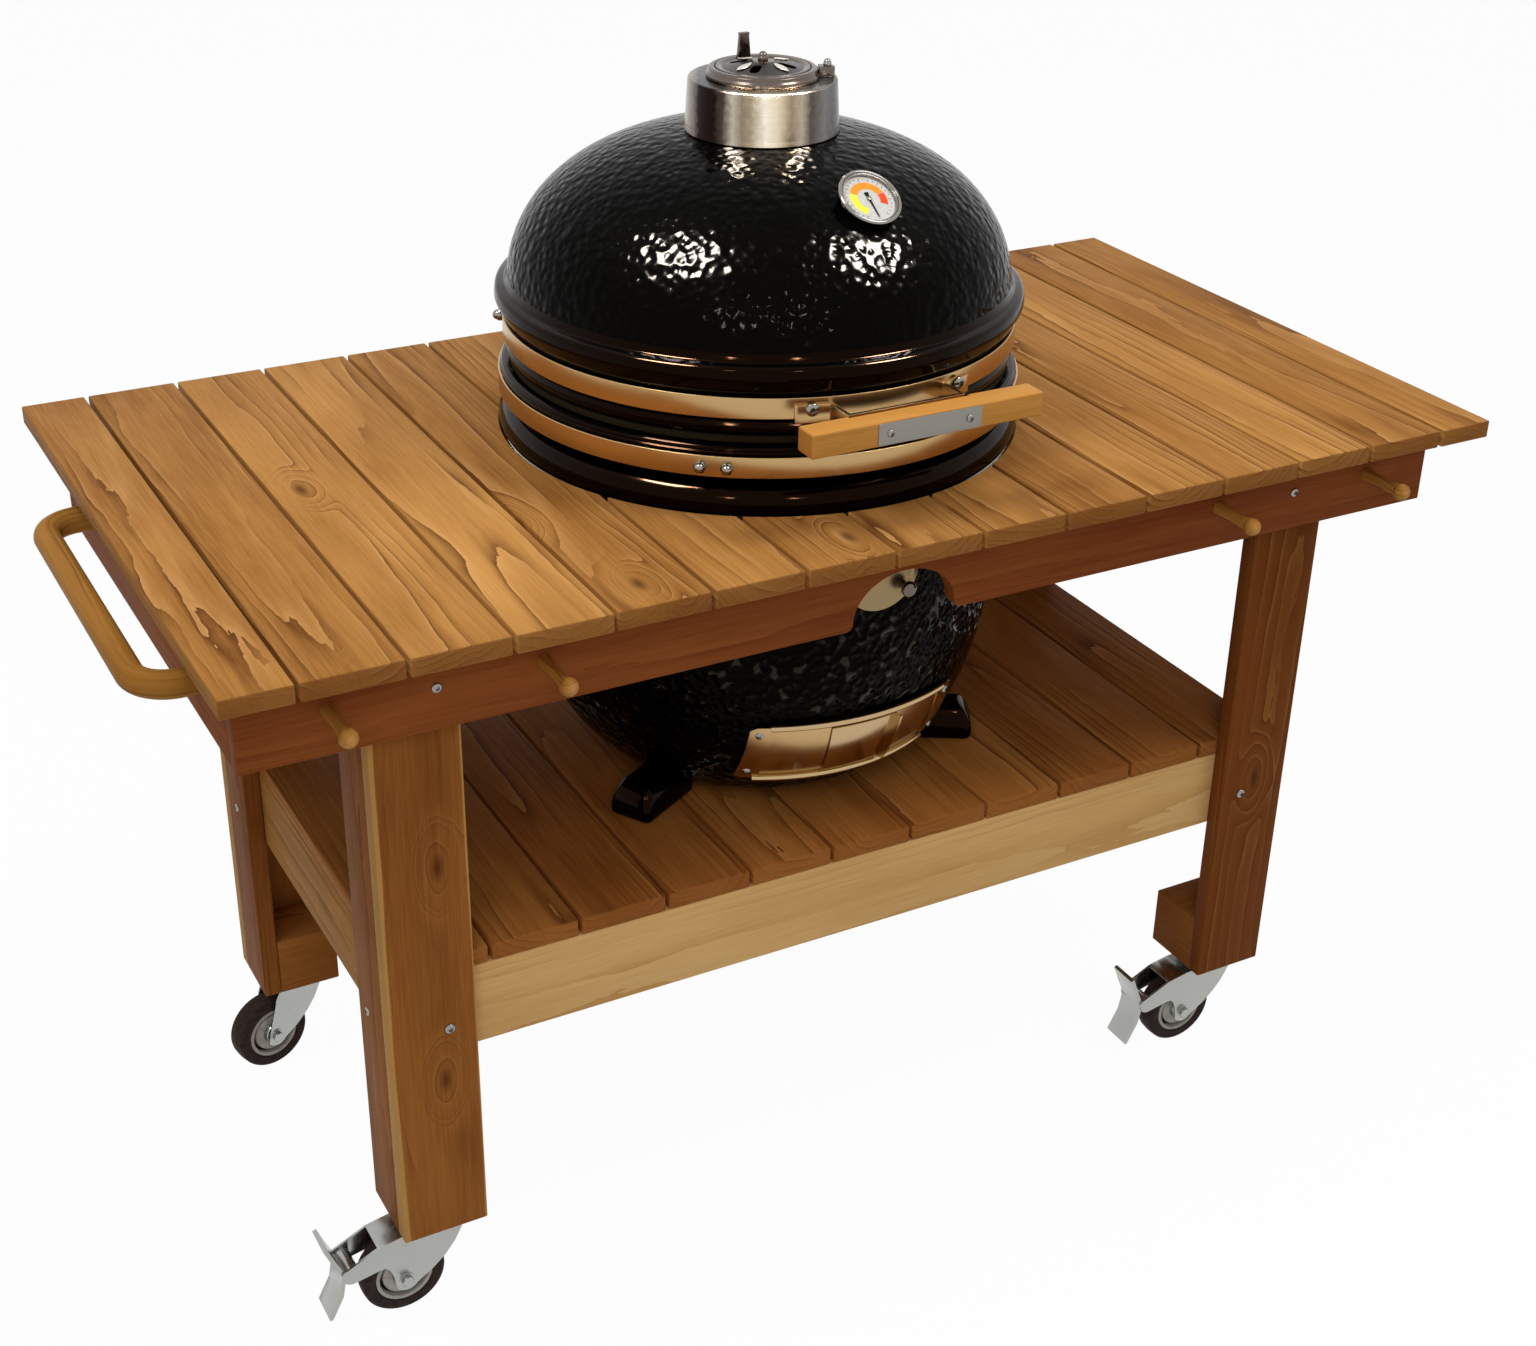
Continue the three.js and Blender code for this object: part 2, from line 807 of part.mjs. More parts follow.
// Points of the bowl's outside, or of its inside with an inset, from low to high.
function bowlPoints(low, high, count, inset) {
  const points = [];
  for (let i = 0; i <= count; i++) {
    const z = low + ((high - low) * i) / count;
    points.push([bowlRadiusAt(z, inset), z]);
  }
  return points;
}

function bowlGeometry() {
  const { bowlShoulder, wall, neck, rimRadius, rimLow, rimTop, rimGroove } = cooker;
  const foot0 = bowlRadiusAt(bowlBottom, 0);
  const rim = [
    [bowlRadius, neck],
    [rimRadius - rimGroove, rimLow],
    [rimRadius, rimLow + rimGroove * 2],
    [rimRadius, band.low - rimGroove * 2],
    [rimRadius - rimGroove, band.low - rimGroove],
    [rimRadius, band.low],
    [rimRadius, band.low + band.height],
    [rimRadius - rimGroove, rimTop],
  ];
  // The draft frame's heights are among the bowl's, so that the two follow each other.
  const outer = [
    ...bowlPoints(bowlBottom + rimGroove, draftBottom, 2, 0).slice(0, -1),
    ...bowlPoints(draftBottom, draftTop, draft.steps, 0),
    ...bowlPoints(draftTop, bowlShoulder, 3, 0).slice(1),
  ];
  const floor = bowlBottom + wall;
  const inner = bowlPoints(floor, bowlShoulder, 4, wall).reverse();
  const profile = [
    [0, bowlBottom],
    [foot0 - rimGroove * 2, bowlBottom],
    ...outer,
    ...rim,
    [bowlRadius - wall, rimTop],
    ...inner,
    [0, floor],
  ];
  // The air port behind the draft door.
  const middle = (draftTop + draftBottom) / 2;
  const half = draft.port / 2;
  const airPort = common(
    wedge(-draft.windowAngle / 2, draft.windowAngle / 2, 2 * bowlRadius, [middle - half, middle + half]),
    box(
      [-bowlRadius, bowlRadius],
      [-2 * bowlRadius, -fire.bottomRadius],
      [middle - half, middle + half],
    ),
  );
  return cut(revolve(profile, fine), airPort);
}

function domeGeometry() {
  const { lidRim, bulgeRadius, bulgeHeight, crease, domeWall, domeMouth, domeCentre } = cooker;
  const low = cooker.rimTop + cooker.gasket;
  const bandTop = cooker.lidBandLow + band.height;
  const profile = [
    [cooker.gasketRadius - cooker.gasketWidth, low],
    [lidRim - cooker.rimGroove, low],
    [lidRim, low + cooker.rimGroove],
    [lidRim, bandTop],
    [(lidRim + bulgeRadius) / 2 + cooker.rimGroove, (bandTop + bulgeHeight) / 2 - cooker.rimGroove],
    [bulgeRadius, bulgeHeight],
    [bulgeRadius - cooker.rimGroove, (bulgeHeight + crease) / 2],
    [cooker.domeRadius + cooker.rimGroove, crease - cooker.rimGroove],
  ];
  const arc = (inset, count) => {
    const from = cooker.domeRadius - inset;
    const points = [];
    for (let i = 0; i <= count; i++) {
      // Equal turns keep the facets even where the dome is steep.
      const turn = (Math.PI / 2) * (1 - i / count);
      const r = domeMouth + (from - domeMouth) * Math.sin(turn);
      const z = domeHeightAt(r, inset);
      points.push([r, z]);
    }
    return points;
  };
  const outer = arc(0, 10).filter(([, z]) => z > crease);
  const inner = arc(domeWall, 5)
    .filter(([, z]) => z > domeCentre)
    .reverse();
  profile.push(...outer, ...inner, [cooker.domeRadius - domeWall, domeCentre]);
  return revolve(profile, fine);
}

function ringProfile(inner, outer, low, high) {
  return [
    [inner, low],
    [outer, low],
    [outer, high],
    [inner, high],
  ];
}

// Where a hinge plate to one side of the middle meets a ring.
function chordStart(radius, spread) {
  return Math.sqrt(radius ** 2 - (spread + hinge.plate / 2) ** 2);
}

// The bowl's band carries two lugs with the hinge pin at the rear.
function baseBandGeometry() {
  const inner = cooker.rimRadius + seat;
  const outer = inner + band.thick;
  const ring = revolve(ringProfile(inner, outer, band.low, band.low + band.height), fine);
  const back = chordStart(inner + band.thick / 2, hinge.lugSpread);
  const lugShape = shapeOf([
    [back, band.low],
    [outer + hinge.eye / 2, band.low],
    [hinge.out + hinge.eye, hinge.height - hinge.eye / 2],
    [hinge.out + hinge.eye / 2, hinge.height + hinge.eye],
    [hinge.out - hinge.eye / 2, hinge.height + hinge.eye],
    [hinge.out - hinge.eye, hinge.height],
    [outer + seat, band.low + band.height],
    [back, band.low + band.height],
  ]);
  const pieces = [ring];
  for (const side of [-1, 1]) {
    const from = side * hinge.lugSpread;
    const span = [from - hinge.plate / 2, from + hinge.plate / 2];
    pieces.push(prism(lugShape, "x", span));
  }
  const reach = hinge.lugSpread + hinge.plate / 2;
  const pin = rod(hinge.pin / 2, "x", [-reach, reach], rough);
  pieces.push(pin.translate(0, hinge.out, hinge.height));
  return join(...pieces);
}

function lidBandGeometry() {
  const inner = cooker.lidRim + seat;
  const outer = inner + band.thick;
  const low = cooker.lidBandLow;
  const high = low + band.height;
  const ring = revolve(ringProfile(inner, outer, low, high), fine);
  const back = chordStart(inner + band.thick / 2, hinge.armSpread);
  const armShape = shapeOf([
    [back, low + band.thick],
    [outer + band.thick, low + band.thick],
    [hinge.out - hinge.eye, hinge.height - hinge.eye / 2],
    [hinge.out - hinge.eye / 2, hinge.height - hinge.eye],
    [hinge.out + hinge.eye / 2, hinge.height - hinge.eye],
    [hinge.out + hinge.eye, hinge.height],
    [hinge.out + hinge.eye / 2, hinge.height + hinge.eye],
    [outer + hinge.eye, high - band.thick],
    [back, high - band.thick],
  ]);
  const pieces = [ring];
  for (const side of [-1, 1]) {
    const from = side * hinge.armSpread;
    const span = [from - hinge.plate / 2, from + hinge.plate / 2];
    pieces.push(prism(armShape, "x", span));
  }
  const reach = hinge.armSpread + hinge.plate;
  const bore = rod(hinge.pin / 2 + seat, "x", [-reach, reach], rough);
  return cut(join(...pieces), bore.translate(0, hinge.out, hinge.height));
}

// Feet bolted to the band, arms, and a strip along the back of the bar, bent from one bar.
function bracketGeometry() {
  const inner = cooker.lidRim + seat + band.thick + seat;
  const outer = inner + handle.strip;
  const low = handle.centreHeight + handle.strip - handle.stripHeight / 2;
  const spanZ = [low, low + handle.stripHeight];
  const armAngle = THREE.MathUtils.radToDeg(Math.asin((handle.armSpread - handle.strip / 2) / outer));
  const back = -(handle.centreOut - handle.deep / 2 - seat);
  const ring = revolve(ringProfile(inner, outer, ...spanZ), fine);
  const pieces = [];
  for (const side of [-1, 1]) {
    const angles = [side * armAngle, side * handle.footAngle].sort((a, b) => a - b);
    pieces.push(common(ring, wedge(...angles, 2 * outer, spanZ)));
    const x = side * handle.armSpread;
    const spanX = [x - handle.strip / 2, x + handle.strip / 2];
    const start = -Math.sqrt(inner ** 2 - (Math.abs(x) - handle.strip / 2) ** 2) - seat;
    pieces.push(box(spanX, [back, start], spanZ));
  }
  const reach = handle.armSpread + handle.strip / 2;
  pieces.push(box([-reach, reach], [back, back + handle.strip], spanZ));
  return join(...pieces);
}

function barGeometry() {
  const { length, deep, high, round, endRound } = handle;
  const x = length / 2 - round;
  const z = high / 2 - round;
  const shape = new THREE.Shape();
  shape.moveTo(-x + endRound, -z);
  shape.lineTo(x - endRound, -z);
  shape.quadraticCurveTo(x, -z, x, 0);
  shape.quadraticCurveTo(x, z, x - endRound, z);
  shape.lineTo(-x + endRound, z);
  shape.quadraticCurveTo(-x, z, -x, 0);
  shape.quadraticCurveTo(-x, -z, -x + endRound, -z);
  const spanY = [-handle.centreOut - deep / 2 + round, -handle.centreOut + deep / 2 - round];
  return prism(shape, "y", spanY, {
    bevelEnabled: true,
    bevelThickness: round,
    bevelSize: round,
    bevelSegments: 2,
    curveSegments: 4,
  }).translate(handle.shift, 0, handle.centreHeight);
}

function chimneyGeometry() {
  const { baseRadius, topRadius, wall, mouth } = chimney;
  const foot0 = domeHeightAt(baseRadius - wall, 0) + seat;
  const floor = foot0 + (domeHeightAt(baseRadius - wall, 0) - domeHeightAt(baseRadius, 0));
  return revolve(
    [
      [baseRadius - wall, floor],
      [baseRadius, foot0],
      [topRadius + wall / 2, chimney.top - wall / 2],
      [topRadius, chimney.top],
      [mouth, chimney.top],
      [mouth, chimney.top - wall],
      [topRadius - wall, chimney.top - wall],
    ],
    fine,
  );
}

function slotCutters(z0, z1) {
  const cutters = [];
  for (let i = 0; i < damper.slots; i++) {
    const half = damper.slotWidth / 2;
    const slot = new THREE.Shape();
    slot.absarc(0, damper.slotOut - half, half, 0, Math.PI, false);
    slot.absarc(0, damper.slotIn + half, half, Math.PI, 2 * Math.PI, false);
    const cutter = prism(slot, "z", [z0, z1], { curveSegments: 3 });
    cutters.push(cutter.rotateZ((2 * Math.PI * (i + 1 / 2)) / damper.slots));
  }
  return cutters;
}

const capLow = chimney.top + seat;
const capTop = capLow + cap.height;
const damperSeat = capTop - cap.rimWidth / 2;

// The cap's ring has a slotted floor and turns aside about a screw in its lug.
function capGeometry() {
  const { radius, topRadius, rimWidth, floor, lugAngle, lugOut, lugRadius } = cap;
  const ring = revolve(
    [
      [radius - floor, capLow],
      [radius, capLow],
      [topRadius, capTop - floor / 2],
      [topRadius - floor, capTop],
      [topRadius - rimWidth + seat, capTop],
      [topRadius - rimWidth + seat, damperSeat],
      [0, damperSeat],
      [0, damperSeat - floor],
      [radius - floor, damperSeat - floor],
    ],
    fine,
  );
  const x = lugOut * Math.sin(rad(lugAngle));
  const y = -lugOut * Math.cos(rad(lugAngle));
  const lug = cylinder(lugRadius, [capLow, capTop], rough).translate(x, y, 0);
  const screw = new THREE.SphereGeometry(cap.screw, rough, rough / 2).translate(x, y, capTop);
  const clear = cylinder(radius - floor, [capLow, capTop], medium);
  const slots = slotCutters(capLow - overrun, capTop + overrun);
  return cut(join(ring, cut(lug, clear), screw), ...slots);
}

// The damper: a shallow dished wheel with the same slots, a hub nut and a tab at the rear.
function damperGeometry() {
  const { radius, thick, cone, hub, hubRise, tabWidth, tabThick, tabRise, tabOut } = damper;
  const low = damperSeat + seat;
  const apex = low + cone;
  const dish = revolve(
    [
      [0, apex - thick],
      [hub, apex - thick],
      [radius - thick * 2, low],
      [radius, low],
      [radius, low + thick * 2],
      [radius - thick * 2, low + thick],
      [hub, apex],
      [hub, apex + thick],
      [hub / 2, apex + hubRise],
      [0, apex + hubRise],
    ],
    medium,
  );
  const tab = shapeOf([
    [-tabWidth / 2, low + thick / 2],
    [tabWidth / 2, low + thick / 2],
    [tabWidth / 2 - thick, low + tabRise],
    [-tabWidth / 2 + thick, low + tabRise],
  ]);
  const fin = prism(tab, "y", [tabOut - tabThick / 2, tabOut + tabThick / 2]);
  return join(cut(dish, ...slotCutters(low - overrun, apex + overrun)), fin);
}

const thermoRadius = thermometer.centreShare * cooker.domeRadius;

const thermoNormal = (() => {
  const r = thermoRadius;
  const z = domeHeightAt(r, 0) - cooker.domeCentre;
  const power = domePowerShare - 1;
  const across = (r / cooker.domeRadius) ** power / cooker.domeRadius;
  const up = (z / cooker.domeRise) ** power / cooker.domeRise;
  return Math.atan2(up, across);
})();

function thermometerCase() {
  const { diameter, deep, bezel, dialDepth, stem, stemRadius } = thermometer;
  const r = diameter / 2;
  return revolve(
    [
      [0, -stem],
      [stemRadius, -stem],
      [stemRadius, 0],
      [r - bezel, 0],
      [r - bezel, deep - bezel],
      [r, deep - bezel],
      [r - bezel / 4, deep],
      [r - bezel, deep],
      [r - bezel, dialDepth],
      [0, dialDepth],
    ],
    medium,
  );
}

function needleGeometry() {
  const { needle, needleWidth, needleThick, dialDepth } = thermometer;
  const low = dialDepth + seat;
  // The pointer hangs at rest, its broad tail up.
  const pointer = shapeOf([
    [-needleWidth / 4, -needle],
    [needleWidth / 4, -needle],
    [needleWidth, needle / 3],
    [-needleWidth, needle / 3],
  ]);
  return join(
    prism(pointer, "z", [low, low + needleThick]),
    cylinder(needleWidth, [low, low + needleThick * 2], rough),
  );
}

// A sheet that follows the bowl's outside between two heights, from one offset to another.
function bowlSheet(low, high, from, thick) {
  const inner = bowlPoints(low, high, draft.steps, 0).map(([r, z]) => [r + from, z]);
  const outer = inner.map(([r, z]) => [r + thick, z]).reverse();
  return revolve([...inner, ...outer], track);
}

function roundBead(radius, [r, z]) {
  const profile = [];
  for (let i = 0; i < beadFacets; i++) {
    const angle = (2 * Math.PI * (i + 1 / 2)) / beadFacets;
    profile.push([r + radius * Math.cos(angle), z + radius * Math.sin(angle)]);
  }
  return revolve(profile, track);
}

// The draft frame: a strip with rolled rails above and below, an end plate at each end.
function draftFrameGeometry() {
  const { halfAngle, plateAngle, sheet, rail } = draft;
  const from = seat;
  const strip = bowlSheet(draftBottom, draftTop, from, sheet);
  const beadOut = from + rail / 2 + sheet / 2;
  const beads = [draftBottom, draftTop].map((z) =>
    roundBead(rail / 2 - seat, [bowlRadiusAt(z, 0) + beadOut, z]),
  );
  const span = [draftBottom - rail, draftTop + rail];
  const whole = join(strip, ...beads);
  const sector = common(whole, wedge(-halfAngle, halfAngle, 2 * bowlRadius, span));
  const thickness = sheet * 2 + seat;
  const plates = bowlSheet(draftBottom, draftTop, from, thickness);
  const ends = [-1, 1].map((side) => {
    const angles = [side * (halfAngle - plateAngle), side * halfAngle].sort((a, b) => a - b);
    return common(plates, wedge(...angles, 2 * bowlRadius, span));
  });
  const middle = (draftTop + draftBottom) / 2;
  const half = draft.port / 2;
  const opening = wedge(-draft.windowAngle / 2, draft.windowAngle / 2, 2 * bowlRadius, [
    middle - half,
    middle + half,
  ]);
  return cut(join(sector, ...ends), opening);
}

// The door slides round the bowl between the rails, on a slim upright flange.
function draftDoorGeometry() {
  const { sheet, rail, doorAngle, flange, slack } = draft;
  const from = seat + sheet + slack;
  const low = draftBottom + rail;
  const high = draftTop - rail;
  const span = [low - overrun, high + overrun];
  const leaf = bowlSheet(low, high, from, sheet);
  const end = doorAngle / 2;
  const body = common(leaf, wedge(-end, end, 2 * bowlRadius, span));
  const fin = bowlSheet(low, high, from, flange);
  const finAngle = THREE.MathUtils.radToDeg(sheet / bowlRadiusAt((low + high) / 2, 0));
  const edge = common(fin, wedge(end - finAngle, end, 2 * bowlRadius, span));
  return join(body, edge);
}

function portCoverGeometry() {
  const { radius, thick, knob, knobReach, knobOut, knobAngle } = port;
  const disc = rod(radius, "y", [-thick, 0], medium);
  const grow = knobOut;
  const x = grow * Math.sin(rad(knobAngle));
  const z = -grow * Math.cos(rad(knobAngle));
  const stem = rod(knob / 4, "y", [-thick - knobReach / 2, -thick / 2], rough);
  const head = rod(knob / 2, "y", [-thick - knobReach, -thick - knobReach / 2], rough);
  const hub = rod(knob / 3, "y", [-thick * 2, -thick / 2], rough);
  return join(disc, stem.translate(x, 0, z), head.translate(x, 0, z), hub);
}

// A shoe between the bowl's bottom and the shelf, with a rounded upstand round the bowl's turn.
function footGeometry() {
  const { width, reach, inner, rise, lip } = foot;
  const low = base.shelfHeight - tableHeight + seat;
  const underBowl = bowlBottom - seat;
  const corner = width / 2;
  const slope = bowlPoints(bowlBottom, low + rise, 3, 0).map(([r, z]) => [-r - seat * 2, z]);
  const side = shapeOf([[-inner, low], [-inner, underBowl], [slope[0][0], underBowl], ...slope]);
  side.quadraticCurveTo(-reach, low + rise, -reach, low + lip);
  side.lineTo(-reach, low);
  const body = prism(side, "x", [-corner, corner]);
  const plan = new THREE.Shape();
  plan.moveTo(-corner, -inner + overrun);
  plan.lineTo(-corner, -reach + lip);
  plan.quadraticCurveTo(-corner, -reach, 0, -reach);
  plan.quadraticCurveTo(corner, -reach, corner, -reach + lip);
  plan.lineTo(corner, -inner + overrun);
  const column = prism(plan, "z", [low - overrun, low + rise + overrun]);
  const front = new THREE.Shape();
  front.moveTo(-corner, low - overrun);
  front.lineTo(-corner, low + lip);
  front.quadraticCurveTo(-corner + lip / 2, low + rise, 0, low + rise);
  front.quadraticCurveTo(corner - lip / 2, low + rise, corner, low + lip);
  front.lineTo(corner, low - overrun);
  const arch = prism(front, "y", [-reach - overrun, -inner + overrun]);
  return common(common(body, column), arch);
}

function fireboxGeometry() {
  const { radius, wall, bottomRadius, shoulderRise, mouthHeight, mouthAngle } = fire;
  const shoulder = bowlBottom + shoulderRise;
  const low = bowlBottom + cooker.wall + seat;
  const profile = [
    [bottomRadius - wall, low],
    [bottomRadius, low],
    [radius, shoulder],
    [radius, fire.top],
    [radius - wall, fire.top],
    [radius - wall, shoulder],
    [bottomRadius - wall, low + wall],
  ];
  const mouth = wedge(-mouthAngle / 2, mouthAngle / 2, 2 * bowlRadius, [
    low + wall,
    low + wall + mouthHeight,
  ]);
  const grateFloor = cylinder(bottomRadius - wall / 2, [low, low + wall], medium);
  return join(cut(revolve(profile, medium), mouth), grateFloor);
}

function grateGeometry() {
  const { inset, ring, bar, bars } = grate;
  const radius = fire.radius - inset;
  const z = fire.top + seat + ring / 2;
  const rim = revolve(ringProfile(radius - ring, radius, z - ring / 2, z + ring / 2), medium);
  const pieces = [];
  for (let i = 0; i < bars; i++) {
    const x = (radius - ring) * ((2 * (i + 1)) / (bars + 1) - 1);
    const half = Math.sqrt((radius - ring / 2) ** 2 - x ** 2);
    pieces.push(box([x - bar / 2, x + bar / 2], [-half, half], [z - bar / 2, z + bar / 2]));
  }
  return join(rim, ...pieces);
}

function addCooker(table) {
  const group = new THREE.Group();
  group.position.set(0, setback, tableHeight);
  table.add(group);
  add(group, "base_bowl", bowlGeometry(), "glaze");
  add(group, "base_band", baseBandGeometry(), "stainless");
  const gasketInner = cooker.gasketRadius - cooker.gasketWidth;
  const gasketSpan = [cooker.rimTop + seat, cooker.rimTop + cooker.gasket - seat];
  const gasket = revolve(ringProfile(gasketInner, cooker.gasketRadius, ...gasketSpan), fine);
  add(group, "gasket", gasket, "felt");
  add(group, "lid_dome", domeGeometry(), "glaze");
  add(group, "lid_band", lidBandGeometry(), "stainless");
  add(group, "lid_handle_bracket", bracketGeometry(), "stainless");
  add(group, "lid_handle_bar", barGeometry(), "teakPale");
  add(group, "chimney_collar", chimneyGeometry(), "stainless");
  add(group, "cap_ring", capGeometry(), "stainless");
  add(group, "damper_wheel", damperGeometry(), "stainless");

  const side = new THREE.Group();
  side.rotation.z = rad(thermometer.angle);
  group.add(side);
  const dialStand = new THREE.Group();
  // The case stands more upright than the dome under it, on a short stem. The dome's facets
  // lie inside its curve, across and down.
  const tilt = rad(thermometer.tilt);
  const flatness = thermoRadius * (1 - Math.cos(Math.PI / fine)) * Math.cos(thermoNormal);
  const stemReach = thermometer.stem * Math.cos(tilt) + thermometer.stemRadius * Math.sin(tilt);
  const gap = stemReach - (flatness * 3) / 2;
  dialStand.position.set(
    0,
    -thermoRadius - gap * Math.cos(thermoNormal),
    domeHeightAt(thermoRadius, 0) + gap * Math.sin(thermoNormal),
  );
  dialStand.rotation.x = Math.PI / 2 - thermoNormal + tilt;
  side.add(dialStand);
  add(dialStand, "thermometer_case", thermometerCase(), "dial");
  add(dialStand, "thermometer_needle", needleGeometry(), "needle");

  add(group, "draft_frame", draftFrameGeometry(), "stainless");
  add(group, "draft_door", draftDoorGeometry(), "stainless");
  const cover = add(group, "port_cover", portCoverGeometry(), "stainless");
  cover.position.set(0, -bowlRadiusAt(port.height, 0) - 2 * seat, port.height);
  foot.angles.forEach((angle, i) => {
    const shoe = add(group, "bowl_foot_" + (i + 1), footGeometry(), "glaze");
    shoe.rotation.z = rad(angle);
  });
  add(group, "firebox", fireboxGeometry(), "clay");
  add(group, "cooking_grate", grateGeometry(), "iron");
}

const part = new THREE.Group();
const table = new THREE.Group();
// The handle reaches past the top's left end and the pegs past its front edge.
const handleProud = grip.reach + grip.diameter / 2 + seat - base.endInset;
const pegProud = peg.reach + peg.ball / 2 - (frontFace + halfDepth);
table.position.set(handleProud / 2, pegProud / 2, 0);
part.add(table);
addTop(table);
addAprons(table);
addLegs(table);
addShelf(table);
addGrip(table);
addCasters(table);
addCooker(table);

export default part;
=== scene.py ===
import math
import random

import bmesh
import bpy
from mathutils import Matrix, Vector


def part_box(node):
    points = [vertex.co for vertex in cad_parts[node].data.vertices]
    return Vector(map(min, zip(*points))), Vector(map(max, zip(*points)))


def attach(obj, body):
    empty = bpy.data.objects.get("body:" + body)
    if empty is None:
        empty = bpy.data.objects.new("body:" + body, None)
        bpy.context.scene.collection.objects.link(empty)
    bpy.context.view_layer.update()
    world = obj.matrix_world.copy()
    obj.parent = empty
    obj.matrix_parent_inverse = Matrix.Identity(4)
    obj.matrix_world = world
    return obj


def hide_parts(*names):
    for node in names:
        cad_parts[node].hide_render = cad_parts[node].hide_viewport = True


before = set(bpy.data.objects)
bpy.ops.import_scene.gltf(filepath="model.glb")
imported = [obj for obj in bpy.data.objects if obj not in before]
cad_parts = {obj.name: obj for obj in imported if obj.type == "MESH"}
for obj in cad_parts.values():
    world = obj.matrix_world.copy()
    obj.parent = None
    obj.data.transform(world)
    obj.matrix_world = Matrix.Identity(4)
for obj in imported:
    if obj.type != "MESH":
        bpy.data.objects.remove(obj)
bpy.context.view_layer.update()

mm = 0.001
# The cooker's axis and the table's top face. Lengths in the dictionaries are in millimetres.
cooker = {"x": 21.95, "y": 11.5, "top": 900.2}
seatGap = 0.3  # between pieces that touch
axisNumber = {"x": 0, "y": 1, "z": 2}
onCooker = Matrix.Translation((cooker["x"], cooker["y"], cooker["top"]))


# An sRGB hex colour as linear RGBA.
def linear(hexColour):
    channels = [int(hexColour[i:i + 2], 16) / 255 for i in (1, 3, 5)]
    return (*(c / 12.92 if c <= 0.04045 else ((c + 0.055) / 1.055) ** 2.4 for c in channels), 1)


def nodeBox(node):
    low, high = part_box(node)
    return low / mm, high / mm


# Adds a node: its inputs are values or other nodes' outputs, its settings go by name.
def addNode(tree, kind, inputs=None, **settings):
    node = tree.nodes.new(kind)
    for key, value in settings.items():
        if key != "stops":
            setattr(node, key, value)
            continue
        elements = node.color_ramp.elements
        elements.remove(elements[1])
        for i, (place, colour) in enumerate(value):
            element = elements.new(place) if i else elements[0]
            element.position = place
            element.color = linear(colour)
    for socket, value in (inputs or {}).items():
        if isinstance(value, bpy.types.NodeSocket):
            tree.links.new(value, node.inputs[socket])
        else:
            node.inputs[socket].default_value = value
    return node


# A material with these values on its Principled shader.
def startMaterial(name, values):
    material = bpy.data.materials.new(name)
    material.use_nodes = True
    tree = material.node_tree
    shader = tree.nodes["Principled BSDF"]
    for socket, value in values.items():
        shader.inputs[socket].default_value = value
    return material, tree, shader


# Makes a piece of the visual model that moves with a body. The mesh functions below take millimetres.
def newPiece(name, bm, materials, body, replaces=(), sharp=35):
    bmesh.ops.remove_doubles(bm, verts=bm.verts, dist=1e-6)
    bmesh.ops.recalc_face_normals(bm, faces=bm.faces)
    mesh = bpy.data.meshes.new(name)
    bm.to_mesh(mesh)
    bm.free()
    for material in materials:
        mesh.materials.append(material)
    piece = bpy.data.objects.new(name, mesh)
    bpy.context.scene.collection.objects.link(piece)
    smoothen(piece, sharp)
    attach(piece, body)
    if replaces:
        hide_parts(*replaces)
    return piece


def smoothen(piece, sharp=35):
    piece.data.polygons.foreach_set("use_smooth", [True] * len(piece.data.polygons))
    piece.data.set_sharp_from_angle(angle=math.radians(sharp))


# Rounds the corners of an outline. A corner is (u, v) or (u, v, radius).
def rounded(corners, closed=True, steps=4):
    points = []
    count = len(corners)
    for i, corner in enumerate(corners):
        here = Vector(corner[:2])
        radius = corner[2] if len(corner) > 2 else 0
        if not radius or (not closed and i in (0, count - 1)):
            points.append(here)
            continue
        back = Vector(corners[i - 1][:2]) - here
        ahead = Vector(corners[(i + 1) % count][:2]) - here
        half = back.angle(ahead) / 2
        run = min(radius / math.tan(half), back.length * 0.49, ahead.length * 0.49)
        start, end = here + back.normalized() * run, here + ahead.normalized() * run
        for k in range(steps + 1):
            t = k / steps
            points.append(start * (1 - t) ** 2 + here * 2 * t * (1 - t) + end * t * t)
    return points


# Turns a profile of (radius, height) round the local Z axis. Angle 0 faces -Y and grows towards +X.
def lathe(bm, profile, place=onCooker, sides=96, start=0, turn=360, closed=True, paint=0):
    whole = turn == 360
    columns = []
    for i in range(sides if whole else sides + 1):
        angle = math.radians(start + turn * i / sides)
        s, c = math.sin(angle), -math.cos(angle)
        columns.append([bm.verts.new(place @ Vector((p[0] * s, p[0] * c, p[1])) * mm) for p in profile])
    faces = []
    rows = len(profile) if closed else len(profile) - 1
    for i in range(sides):
        a, b = columns[i], columns[(i + 1) % len(columns)]
        for k in range(rows):
            n = (k + 1) % len(profile)
            if profile[k][0] < 1e-6 and profile[n][0] < 1e-6:
                continue
            corners = [a[k], b[k], b[n], a[n]]
            if profile[k][0] < 1e-6:
                corners.remove(b[k])
            elif profile[n][0] < 1e-6:
                corners.remove(a[n])
            faces.append(bm.faces.new(corners))
    if not whole and closed:
        faces += [bm.faces.new(columns[0]), bm.faces.new(columns[-1][::-1])]
    for face in faces:
        face.material_index = paint
    return faces


